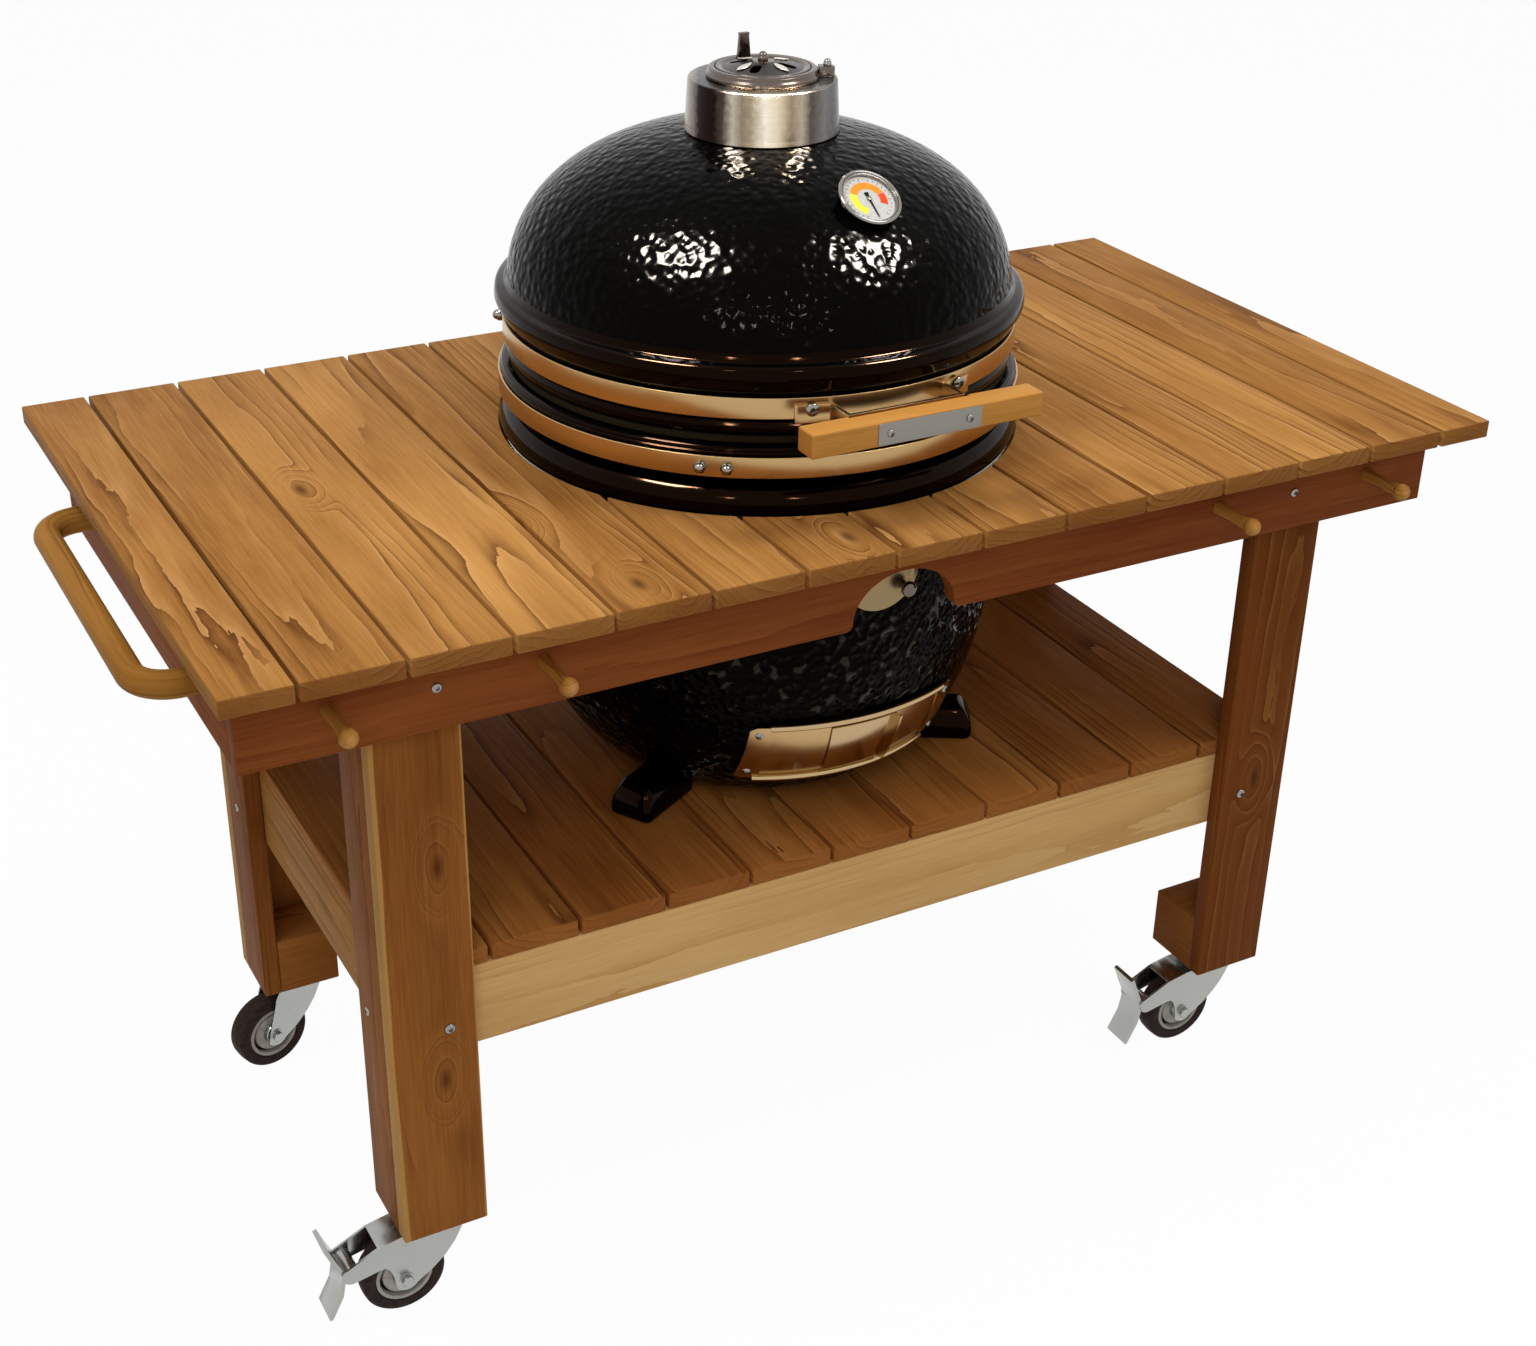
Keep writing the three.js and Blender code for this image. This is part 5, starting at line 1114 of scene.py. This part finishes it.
def buildCap():
    radius, upper, low, high, lug = (cap[key] for key in ("radius", "top", "low", "high", "lug"))
    seat, inner = high - cap["seat"], upper - cap["rim"] + 0.3
    bm = bmesh.new()
    profile = rounded([(0, seat - 2.5), (cap["web"], seat - 2.5), (radius - 2.5, low), (radius, low, 1.2),
                       (radius, low + 4, 1.5), (upper + 0.5, low + 6, 1.5), (upper, high - 1.5, 1.5),
                       (upper - 2.5, high, 1.5), (inner, high, 1.2), (inner, seat), (0, seat)], closed=False, steps=4)
    lathe(bm, profile, sides=96, closed=False)
    piece = newPiece("cap_rim", bm, [castStainless], "chimney_cap", ["cap_ring"])
    carve(piece, slotCutters(seat - 8, seat + 8))
    a = math.radians(cap["lugAngle"])
    away = Vector((math.sin(a), -math.cos(a)))
    side = Vector((-away.y, away.x))
    centre = away * cap["lugOut"]
    outline = [centre + away * u + side * v for u, v in halfCircle(lug, -math.pi / 2, 12)]
    outline += [centre - away * cap["lugBack"] + side * half for half in (lug + 1, -lug - 1)]
    bm = bmesh.new()
    extrude(bm, outline, (low, high), "z", 1.0, 2, onCooker)
    newPiece("cap_lug", bm, [castStainless], "chimney_cap")
    spot = onCooker @ Vector((*centre, high))
    screw("cap_screw", "acorn", spot, (0, 0, 1), cap["screw"], polishedChrome, "chimney_cap")


def buildDamper():
    d = damper
    low, apex, thick, radius, hub = d["low"], d["low"] + d["cone"], d["thick"], d["radius"], d["hub"]
    coneIn, coneOut = hub + 3, radius - 7
    bm = bmesh.new()
    profile = rounded([(0, apex - thick), (hub, apex - thick, 2), (radius - 4, low), (radius, low, 1),
                       (radius, low + 4, 2), (radius - 4, low + thick + 1.4, 2), (coneOut, low + thick, 2),
                       (coneIn, apex - 0.5, 4), (hub + 1, apex, 1), (0, apex)], closed=False, steps=4)
    lathe(bm, profile, sides=96, closed=False)
    # The cone between the hub and the rim is painted dark, as painted shade; the rim and the hub aren't.
    for face in bm.faces:
        away = onCooker.inverted() @ (face.calc_center_median() / mm)
        if coneIn < away.xy.length < coneOut:
            face.material_index = 1
    piece = newPiece("damper_dish", bm, [castStainless, sootedStainless], "damper", ["damper_wheel"])
    carve(piece, slotCutters(low - 6, apex + 6))
    screw("damper_nut", "acorn", onCooker @ Vector((0, 0, apex)), (0, 0, 1), d["nut"], castStainless, "damper")
    # Four raised vanes on the cone, between the slots.
    slope = math.atan2(d["cone"] - thick - 0.5, coneOut - coneIn)
    lens = [(d["vaneLong"] / 2 * s, d["vaneWide"] / 2 * (1 - s * s)) for s in (k / 8 - 1 for k in range(17))]
    lens += [(x, -y) for x, y in lens[-2:0:-1]]
    level = apex - 0.5 - (d["vaneAt"] - coneIn) * math.tan(slope)
    for k in range(4):
        bm = bmesh.new()
        turned = Matrix.Rotation(math.radians(45 + 90 * k + d["vaneAngle"]), 4, "Z")
        place = onCooker @ turned @ Matrix.Translation((d["vaneAt"], 0, level)) @ Matrix.Rotation(slope, 4, "Y")
        extrude(bm, lens, (0.2, 1.8), "z", 0.5, 1, place)
        newPiece("damper_vane_%d" % (k + 1), bm, [brightStainless], "damper")
    tab = rounded([(-8, low + 1), (8, low + 1, 1), (5.5, low + 27, 2), (6.5, low + 30, 1.5), (-6.5, low + 30, 1.5),
                   (-5.5, low + 27, 2)])
    bm = bmesh.new()
    extrude(bm, tab, d["tab"], "y", 1.2, 2, onCooker)
    newPiece("damper_tab", bm, [castStainless], "damper")


thermo = {
    "angle": 4.9, "out": 199.1, "tilt": 7, "stem": 2, "stemRadius": 8, "radius": 35.5, "deep": 12, "bezel": 6,
    "dial": 7, "needle": 24, "ink": 0.15,
    # Where each arc starts, from 12 o'clock onwards, and its turn: from 7 to 10 o'clock, on to half past 2, to 4.
    "arcs": {"yellow": (-150, 90, yellowInk), "orange": (-58, 132, orangeInk), "red": (76, 44, redInk)},
    "arcIn": 13, "arcOut": 21.5, "ticks": 24, "tickTurn": 300, "tickOut": 26.5, "longTick": 3.2, "shortTick": 1.8,
}


# The frame of the thermometer's case, whose Z points away from the dome.
def thermoPlace():
    r = thermo["out"]
    z = domeHeight(r) - dome["centre"]
    power = dome["power"] - 1
    across = (r / dome["radius"]) ** power / dome["radius"]
    up = (z / dome["rise"]) ** power / dome["rise"]
    lean = math.atan2(up, across)
    turned = Matrix.Rotation(math.radians(thermo["angle"]), 4, "Z")
    more = math.radians(thermo["tilt"])
    tilt = Matrix.Rotation(math.pi / 2 - lean + more, 4, "X")
    # It stands off by its stem, less what the dome's facets lie inside its curve.
    off = thermo["stem"] * math.cos(more) + thermo["stemRadius"] * math.sin(more)
    off -= 1.5 * r * (1 - math.cos(math.pi / 36)) * math.cos(lean)
    return onCooker @ turned @ Matrix.Translation((0, -r - off * math.cos(lean),
                                                   z + dome["centre"] + off * math.sin(lean))) @ tilt


def buildThermometer():
    t = thermo
    at = thermoPlace()
    r, deep, dial, printed = t["radius"], t["deep"], t["dial"], (t["dial"], t["dial"] + t["ink"])
    inner = r - t["bezel"]
    bm = bmesh.new()
    profile = rounded([(0, -t["stem"]), (t["stemRadius"], -t["stem"]), (t["stemRadius"], 0), (inner, 0, 1),
                       (r - 4, deep - 4.5, 1), (r, deep - 4.5, 1), (r, deep - 1.5, 1.5), (r - 1.5, deep, 1.2),
                       (r - 3.2, deep, 0.8), (r - 4, deep - 2, 0.6), (r - 4.6, deep - 1.4, 0.5),
                       (r - 5.6, deep - 1.4, 0.6), (inner, deep - 3), (inner, dial - 0.1), (0, dial - 0.1)],
                      closed=False, steps=4)
    lathe(bm, profile, at, 64, closed=False)
    newPiece("thermometer_bezel", bm, [polishedChrome], "lid", ["thermometer_case"])
    bm = bmesh.new()
    lathe(bm, [(0, dial), (inner, dial)], at, 48, closed=False)
    newPiece("thermometer_dial", bm, [dialEnamel], "lid")
    for colour, (start, turn, ink) in t["arcs"].items():
        bm = bmesh.new()
        # Angle 0 of a lathe faces -Y, which is 6 o'clock here.
        lathe(bm, rectangle(t["arcIn"], t["arcOut"], *printed), at, 24, start=180 - start - turn, turn=turn)
        newPiece("thermometer_%s_arc" % colour, bm, [ink], "lid")
    bm = bmesh.new()
    for i in range(t["ticks"] + 1):
        angle = math.radians(-t["tickTurn"] / 2 + t["tickTurn"] * i / t["ticks"])
        length = t["longTick"] if i % 4 == 0 else t["shortTick"]
        turned = at @ Matrix.Rotation(-angle, 4, "Z")
        extrude(bm, rectangle(-0.25, 0.25, t["tickOut"] - length, t["tickOut"]), printed, "z", place=turned)
    newPiece("thermometer_ticks", bm, [blackPaint], "lid")
    # The pointer: a thin hand, a broader tail and a cap on its middle.
    bm = bmesh.new()
    n, base = t["needle"], dial + 0.5
    extrude(bm, [(-0.45, -n), (0.45, -n), (1.0, 0), (-1.0, 0)], (base, base + 0.8), "z", place=at)
    extrude(bm, [(-0.8, 0), (0.8, 0), (2.6, n / 3), (-2.6, n / 3)], (base, base + 0.8), "z", place=at)
    boss = rounded([(0, base), (2.6, base), (2.6, base + 1.8, 0.8), (0, base + 2)], closed=False)
    lathe(bm, boss, at, 24, closed=False, paint=1)
    newPiece("thermometer_pointer", bm, [blackPaint, polishedChrome], "needle", ["thermometer_needle"])


draft = {
    "low": -359, "high": -272, "edge": 133, "end": 24, "corner": 7, "sheet": 2, "rail": 4, "window": 16, "door": 18,
    "port": 62, "flange": 11, "screws": 10, "screw": 4.6,
    # The opening's cut runs between these radii.
    "cut": (150, 330),
    # How far each part stands off the bowl.
    "stripOff": 0.4, "plateOff": 2.5, "plateThick": 2.4, "doorOff": 3.1, "railOff": 5.5, "screwOff": 4.9,
}


# A sheet that follows the bowl between two heights and two angles.
def sheetRound(bm, low, high, offset, thick, start, turn, sides):
    inner = [(r + offset, z) for r, z in bowlLine(low, high, 10)]
    outer = [(r + thick, z) for r, z in inner][::-1]
    lathe(bm, inner + outer, sides=sides, start=start, turn=turn)


# The same between two edges, which are given as distances from the cooker's middle plane at each height.
def sheetOnBowl(bm, low, high, left, right, offset, thick, columns=40, rows=10):
    layers = []
    for out in (offset, offset + thick):
        layer = []
        for i in range(rows + 1):
            z = low + (high - low) * i / rows
            radius = bowlRadius(z) + out
            a, b = (math.asin(edge(z) / radius) for edge in (left, right))
            layer.append([bm.verts.new(onCooker @ Vector((radius * math.sin(t), -radius * math.cos(t), z)) * mm)
                          for t in (a + (b - a) * k / columns for k in range(columns + 1))])
        layers.append(layer)
    inner, outer = layers
    for i in range(rows):
        for k in range(columns):
            bm.faces.new((inner[i][k], inner[i + 1][k], inner[i + 1][k + 1], inner[i][k + 1]))
            bm.faces.new((outer[i][k], outer[i][k + 1], outer[i + 1][k + 1], outer[i + 1][k]))
        for k in (0, columns):
            loop = (inner[i][k], outer[i][k], outer[i + 1][k], inner[i + 1][k])
            bm.faces.new(loop if k == 0 else loop[::-1])
    for i in (0, rows):
        for k in range(columns):
            loop = (inner[i][k], inner[i][k + 1], outer[i][k + 1], outer[i][k])
            bm.faces.new(loop if i == 0 else loop[::-1])
    bmesh.ops.recalc_face_normals(bm, faces=bm.faces)


def buildDraft():
    d = draft
    low, high = d["low"], d["high"]

    # The rounded corners: how far the edge draws in near the top and the bottom.
    def edge(z):
        near = min(max(min(z - low, high - z), 0), d["corner"])
        return d["edge"] - d["corner"] + math.sqrt(d["corner"] ** 2 - (d["corner"] - near) ** 2)

    bm = bmesh.new()
    sheetOnBowl(bm, low + 2, high - 2, lambda z: 3 - d["edge"], lambda z: d["edge"] - 3, d["stripOff"], d["sheet"])
    frameStrip = newPiece("draft_strip", bm, [brushedStainless], "table", ["draft_frame"])
    carve(frameStrip, [draftOpening()])
    for name, z in (("lower", low), ("upper", high)):
        middle = bowlRadius(z) + d["railOff"]
        half = math.degrees(math.asin((d["edge"] - d["end"] + 4) / middle))
        profile = [(middle + d["rail"] * math.cos(t), z + d["rail"] * math.sin(t))
                   for t in (2 * math.pi * k / 14 for k in range(14))]
        bm = bmesh.new()
        lathe(bm, profile, sides=48, start=-half, turn=2 * half)
        newPiece("draft_rail_" + name, bm, [polishedStainless], "table")
    for name, side in (("left", -1), ("right", 1)):
        bm = bmesh.new()
        inner, outer = (lambda z: side * (d["edge"] - d["end"])), (lambda z: side * edge(z))
        left, right = (outer, inner) if side < 0 else (inner, outer)
        sheetOnBowl(bm, low, high, left, right, d["plateOff"], d["plateThick"], 8, 24)
        newPiece("draft_end_" + name, bm, [brushedStainless], "table")
        for k, z in enumerate((low + 15, high - 11)):
            out = bowlRadius(z) + d["screwOff"]
            angle = math.degrees(math.asin(side * (d["edge"] - d["screws"]) / out))
            place, direction = aroundCooker(angle, out, z)
            screw("draft_screw_%s_%d" % (name, k + 1), "button", place, direction, d["screw"], polishedChrome,
                  "table")
    # The sliding leaf, with a flange along its right edge to push it by.
    bm = bmesh.new()
    for thick, start, turn, sides in ((d["sheet"], -d["door"] / 2, d["door"], 24),
                                      (d["flange"], d["door"] / 2 - 0.5, 0.5, 1)):
        sheetRound(bm, low + 7, high - 9, d["doorOff"], thick, start, turn, sides)
    newPiece("draft_leaf", bm, [polishedStainless], "draft_slider", ["draft_door"])


port = {"radius": 48, "z": -84, "dish": 1.7, "screw": 5.5, "knob": 9, "out": 36, "angle": 52, "reach": 17}


def buildPort():
    r, dish, knob, reach = port["radius"], port["dish"], port["knob"], port["reach"]
    face, z = nodeBox("port_cover")[1].y, cooker["top"] + port["z"]
    bm = bmesh.new()
    profile = rounded([(0, 0), (r - 1, 0), (r, 0.6, 0.5), (r - 1, 2.5, 1), (r - 6, 2.5, 2), (r - 9, dish, 2),
                       (0, dish)], closed=False)
    lathe(bm, profile, facing((cooker["x"], face, z), (0, -1, 0)), 72, closed=False)
    newPiece("port_disc", bm, [satinStainless], "port_cap", ["port_cover"])
    screw("port_screw", "button", (cooker["x"], face - dish, z), (0, -1, 0), port["screw"], castStainless,
          "port_cap")
    a = math.radians(port["angle"])
    place = (cooker["x"] + port["out"] * math.sin(a), face - dish, z - port["out"] * math.cos(a))
    bm = bmesh.new()
    profile = rounded([(0, 0), (5, 0, 1), (4.2, 7, 3), (knob, 10, 3), (knob, reach - 1, 3), (0, reach + 0.8)],
                      closed=False)
    lathe(bm, profile, facing(place, (0, -1, 0)), 32, closed=False)
    newPiece("port_knob", bm, [castStainless], "port_cap")


foot = {"angles": (-60, 60, 180), "inner": 175, "ease": 9}
# Half width, how far the outer face is drawn in, and height, from the shelf upwards.
footSteps = ((29, 0, 0), (28, 1, 23), (19, 14, 45))


def buildFeet():
    # The third foot points straight back, so its box gives the reach.
    low, high = nodeBox("bowl_foot_3")
    reach = high.y - cooker["y"]
    for i, angle in enumerate(foot["angles"]):
        turned = Matrix.Translation((cooker["x"], cooker["y"], low.z)) @ Matrix.Rotation(math.radians(angle), 4, "Z")
        bm = bmesh.new()
        rings = [[bm.verts.new(turned @ Vector((u, -v, up)) * mm)
                  for u, v in rectangle(-half, half, foot["inner"], reach - drawn)] for half, drawn, up in footSteps]
        for a, b in zip(rings, rings[1:]):
            for k in range(4):
                n = (k + 1) % 4
                bm.faces.new((a[k], a[n], b[n], b[k]))
        bm.faces.new(rings[0][::-1])
        bm.faces.new(rings[-1])
        bmesh.ops.recalc_face_normals(bm, faces=bm.faces)
        bmesh.ops.bevel(bm, geom=bm.edges[:], offset=foot["ease"] * mm, segments=5, profile=0.5, affect="EDGES",
                        clamp_overlap=True)
        newPiece("glazed_shoe_%d" % (i + 1), bm, [blackSmoothGlaze], "table",
                 ["bowl_foot_%d" % (i + 1)], sharp=60)


def buildInside():
    dressed("fire_pot", "firebox", [bisqueCeramic], "table", 2, 2)
    dressed("grate_bars", "cooking_grate", [castIronGrate], "table", 0.8, 2)


buildBowl()
buildDome()
buildGasket()
buildBands()
buildBandScrews()
buildHandle()
buildChimney()
buildCap()
buildDamper()
buildThermometer()
buildDraft()
buildPort()
buildFeet()
buildInside()
print("the cooker is made")


tableBolts = {
    "apron": {"xs": [-511.6, 555.4], "z": 826.7, "size": 5.5},
    "leg": {"xs": [-512, 556], "z": 402, "size": 6},
    "legSide": {"ys": [-237.6, 245.4], "zs": [402, 393], "size": 5},
}


def bolt(name, place, direction, size):
    screw(name, "button", place, direction, size, polishedChrome, "table")


def buildFasteners():
    bolts = tableBolts["apron"]
    face = nodeBox("front_apron")[1].y - apron["stock"]
    for i, x in enumerate(bolts["xs"]):
        bolt("apron_bolt_%d" % (i + 1), (x, face, bolts["z"]), (0, -1, 0), bolts["size"])
    left, right = nodeBox("front_left_leg")[0], nodeBox("front_right_leg")[1]
    back = nodeBox("back_left_leg")[1]
    bolts = tableBolts["leg"]
    for i, x in enumerate(bolts["xs"]):
        for name, y, way in (("front", left.y, -1), ("back", back.y, 1)):
            bolt("leg_%s_bolt_%d" % (name, i + 1), (x, y, bolts["z"]), (0, way, 0), bolts["size"])
    bolts = tableBolts["legSide"]
    for name, x, way in (("left", left.x, -1), ("right", right.x, 1)):
        for i, (y, z) in enumerate(zip(bolts["ys"], bolts["zs"])):
            bolt("leg_%s_bolt_%d" % (name, i + 1), (x, y, z), (way, 0, 0), bolts["size"])


# "turns" are the swivels' angles at rest, in degrees.
caster = {"wheel": 50, "width": 32, "trail": 42, "hub": 31, "bore": 13, "axle": 6, "cheek": 19.5, "sheet": 2.5,
          "nut": 7.5, "turns": {"back_left": 14}}


# The other half of a wheel's profile.
def mirrored(side):
    return [(corner[0], -corner[1], *corner[2:]) for corner in reversed(side)]


def buildCasters():
    c = caster
    for key in ("front_left", "front_right", "back_left", "back_right"):
        low, high = nodeBox(key + "_caster_plate")
        stand = Matrix.Translation(((low.x + high.x) / 2, (low.y + high.y) / 2, 0)) @ \
            Matrix.Rotation(math.radians(c["turns"].get(key, 0)), 4, "Z")
        swivel, roller = key + "_swivel", key + "_roller"
        dressed(key + "_top_plate", key + "_caster_plate", [zincPlatedSteel], "table", 0.7)
        dressed(key + "_yoke", key + "_fork", [zincPlatedSteel], swivel, 0.6)
        axle = stand @ Matrix.Translation((-c["trail"], 0, c["wheel"])) @ Matrix.Rotation(math.pi / 2, 4, "X")
        half, r, hub, bore, core = c["width"] / 2, c["wheel"], c["hub"], c["bore"], c["axle"] + 0.3
        bm = bmesh.new()
        side = [(hub + 3, -half + 4), (hub + 5, -half + 1, 1), (r - 5, -half + 1, 3), (r - 1, -half + 4, 3)]
        tyre = rounded(side + [(r, 0, 40)] + mirrored(side), steps=5)
        lathe(bm, tyre, axle, 72)
        # A pale disc and a pale ring, with a groove between them whose floor is a dark ring: painted shade.
        inner, outer, groove = hub - 6, hub - 1.5, half - 11
        side = [(bore, 5 - half), (bore + 8, 4.5 - half, 2), (inner, 4.5 - half, 1), (inner, -groove),
                (outer, -groove), (outer, 2 - half, 1), (hub + 3, 2 - half, 1)]
        rim = rounded(side + mirrored(side), steps=3)
        lathe(bm, rectangle(inner + 0.1, outer - 0.1, -groove - 0.2, groove + 0.2), axle, 72, paint=3)
        lathe(bm, rim, axle, 72, paint=1)
        side = [(core, -half - 1.5), (bore - 1, -half - 1, 1), (bore + 1, 5 - half, 1)]
        lathe(bm, rounded(side + mirrored(side), steps=3), axle, 48, paint=2)
        newPiece(key + "_rolling_wheel", bm, [mouldedRubber, mouldedNylon, zincPlatedSteel, blackNylon], roller,
                 [key + "_wheel"])
        for i, side in enumerate((-1, 1)):
            place = stand @ Vector((-c["trail"], side * (c["cheek"] + c["sheet"]), c["wheel"]))
            way = stand.to_3x3() @ Vector((0, side, 0))
            screw("%s_axle_nut_%d" % (key, i + 1), "hex", place, way, c["nut"], zincPlatedSteel, swivel)
        if key.startswith("front"):
            dressed(key + "_brake_lever", key + "_pedal", [zincPlatedSteel], key + "_brake", 0.8)


buildFasteners()
buildCasters()
print("fasteners and casters are made")


studio = {
    "floor": "#F2F1EE",
    "room": "#D9D8D5",
    "roomStrength": 0.29,
    "glazed": ["kamado_dome", "kamado_bowl", "glazed_shoe_1", "glazed_shoe_2", "glazed_shoe_3",
               "chimney_sleeve"],
    "floorGlow": 0.97,
    "floorSize": 9,
    "floorDrop": 0.0005,
    "aim": 200,  # the height above the table's top that the lamps face
    "lamps": [
        # Name, azimuth and elevation seen from the cooker, distance, size, watts, and what it shows in. The glints
        # in the glaze need lamps that would be too much light for all the rest, so they light the glaze alone.
        ("leftUmbrella", -98, 54, 2.9, 1.0, 33, "both"),
        ("rightUmbrella", 131, 54, 2.9, 1.0, 33, "both"),
        ("ceilingSoftbox", 10, 78, 2.6, 3.0, 33, "dull"),
        ("frontSoftbox", -152, 27, 3.4, 2.2, 32, "dull"),
        ("leftGlint", -97, 56, 2.9, 0.84, 900, "glaze"),
        ("rightGlint", 133, 51, 2.9, 0.8, 730, "glaze"),
        ("leftFrontGlint", -140, 22, 3.0, 0.14, 9, "glaze"),
        ("rightFrontGlint", -168, 22, 3.0, 0.14, 9, "glaze"),
    ],
}


def buildStudio():
    scene = bpy.context.scene
    scene.view_settings.view_transform = "Standard"
    world = bpy.data.worlds.new("paleRoom")
    scene.world = world
    world.use_nodes = True
    tree = world.node_tree
    path = addNode(tree, "ShaderNodeLightPath")
    seen = addNode(tree, "ShaderNodeMath", {0: path.outputs["Is Camera Ray"], 1: path.outputs["Is Glossy Ray"]},
                   operation="MAXIMUM").outputs[0]
    seen = addNode(tree, "ShaderNodeMath", {0: seen, 1: path.outputs["Is Transmission Ray"]},
                   operation="MAXIMUM").outputs[0]
    room = addNode(tree, "ShaderNodeBackground", {"Color": linear(studio["room"]),
                                                  "Strength": studio["roomStrength"]}).outputs[0]
    white = addNode(tree, "ShaderNodeBackground", {"Color": (1, 1, 1, 1), "Strength": 1}).outputs[0]
    both = addNode(tree, "ShaderNodeMixShader", {0: seen, 1: room, 2: white}).outputs[0]
    tree.links.new(both, tree.nodes["World Output"].inputs[0])

    # The floor shows white to the camera, with the object's shadow on it.
    floorMaterial, tree, shader = startMaterial("paleStudioFloor", {"Base Color": linear(studio["floor"]),
                                                                    "Roughness": 0.9})
    path = addNode(tree, "ShaderNodeLightPath")
    glow = addNode(tree, "ShaderNodeEmission", {"Color": (1, 1, 1, 1), "Strength": 1}).outputs[0]
    seen = addNode(tree, "ShaderNodeMath", {0: path.outputs["Is Camera Ray"], 1: path.outputs["Is Glossy Ray"]},
                   operation="MAXIMUM").outputs[0]
    share = addNode(tree, "ShaderNodeMath", {0: seen, 1: studio["floorGlow"]}, operation="MULTIPLY").outputs[0]
    both = addNode(tree, "ShaderNodeMixShader", {0: share, 1: shader.outputs[0], 2: glow}).outputs[0]
    tree.links.new(both, tree.nodes["Material Output"].inputs[0])
    bm = bmesh.new()
    bmesh.ops.create_grid(bm, x_segments=1, y_segments=1, size=studio["floorSize"])
    mesh = bpy.data.meshes.new("studioFloor")
    bm.to_mesh(mesh)
    bm.free()
    mesh.materials.append(floorMaterial)
    floor = bpy.data.objects.new("studioFloor", mesh)
    floor.location.z = -studio["floorDrop"]
    scene.collection.objects.link(floor)

    glazed = bpy.data.collections.new("glazedPieces")
    for name in studio["glazed"]:
        glazed.objects.link(bpy.data.objects[name])
    target = Vector((cooker["x"], cooker["y"], cooker["top"] + studio["aim"])) * mm
    for name, azimuth, elevation, distance, size, watts, use in studio["lamps"]:
        lamp = bpy.data.lights.new(name, "AREA")
        lamp.shape = "DISK"
        lamp.size, lamp.energy = size, watts
        holder = bpy.data.objects.new(name, lamp)
        a, e = math.radians(azimuth), math.radians(elevation)
        away = Vector((math.sin(a) * math.cos(e), math.cos(a) * math.cos(e), math.sin(e)))
        holder.location = target + away * distance
        holder.rotation_euler = away.to_track_quat("Z", "Y").to_euler()
        holder.visible_glossy = use != "dull"
        holder.visible_diffuse = use != "glaze"
        if use == "glaze":
            holder.light_linking.receiver_collection = glazed
        scene.collection.objects.link(holder)


camera = {"place": (-1148.95, -2142.5, 1867.8), "azimuth": 28.96, "elevation": 28.23, "roll": 1.12, "lens": 52.33}


def buildCamera():
    a, e, r = (math.radians(camera[k]) for k in ("azimuth", "elevation", "roll"))
    ahead = Vector((math.sin(a) * math.cos(e), math.cos(a) * math.cos(e), -math.sin(e)))
    level = Vector((math.cos(a), -math.sin(a), 0))
    right = level * math.cos(r) + level.cross(ahead) * math.sin(r)
    turned = Matrix((right, right.cross(ahead), -ahead)).transposed().to_4x4()
    data = bpy.data.cameras.new("photoCamera")
    data.lens, data.sensor_width, data.clip_end = camera["lens"], 36, 100
    holder = bpy.data.objects.new("photoCamera", data)
    holder.matrix_world = Matrix.Translation(Vector(camera["place"]) * mm) @ turned
    bpy.context.scene.collection.objects.link(holder)
    bpy.context.scene.camera = holder


buildStudio()
buildCamera()
print("studio and camera are made")
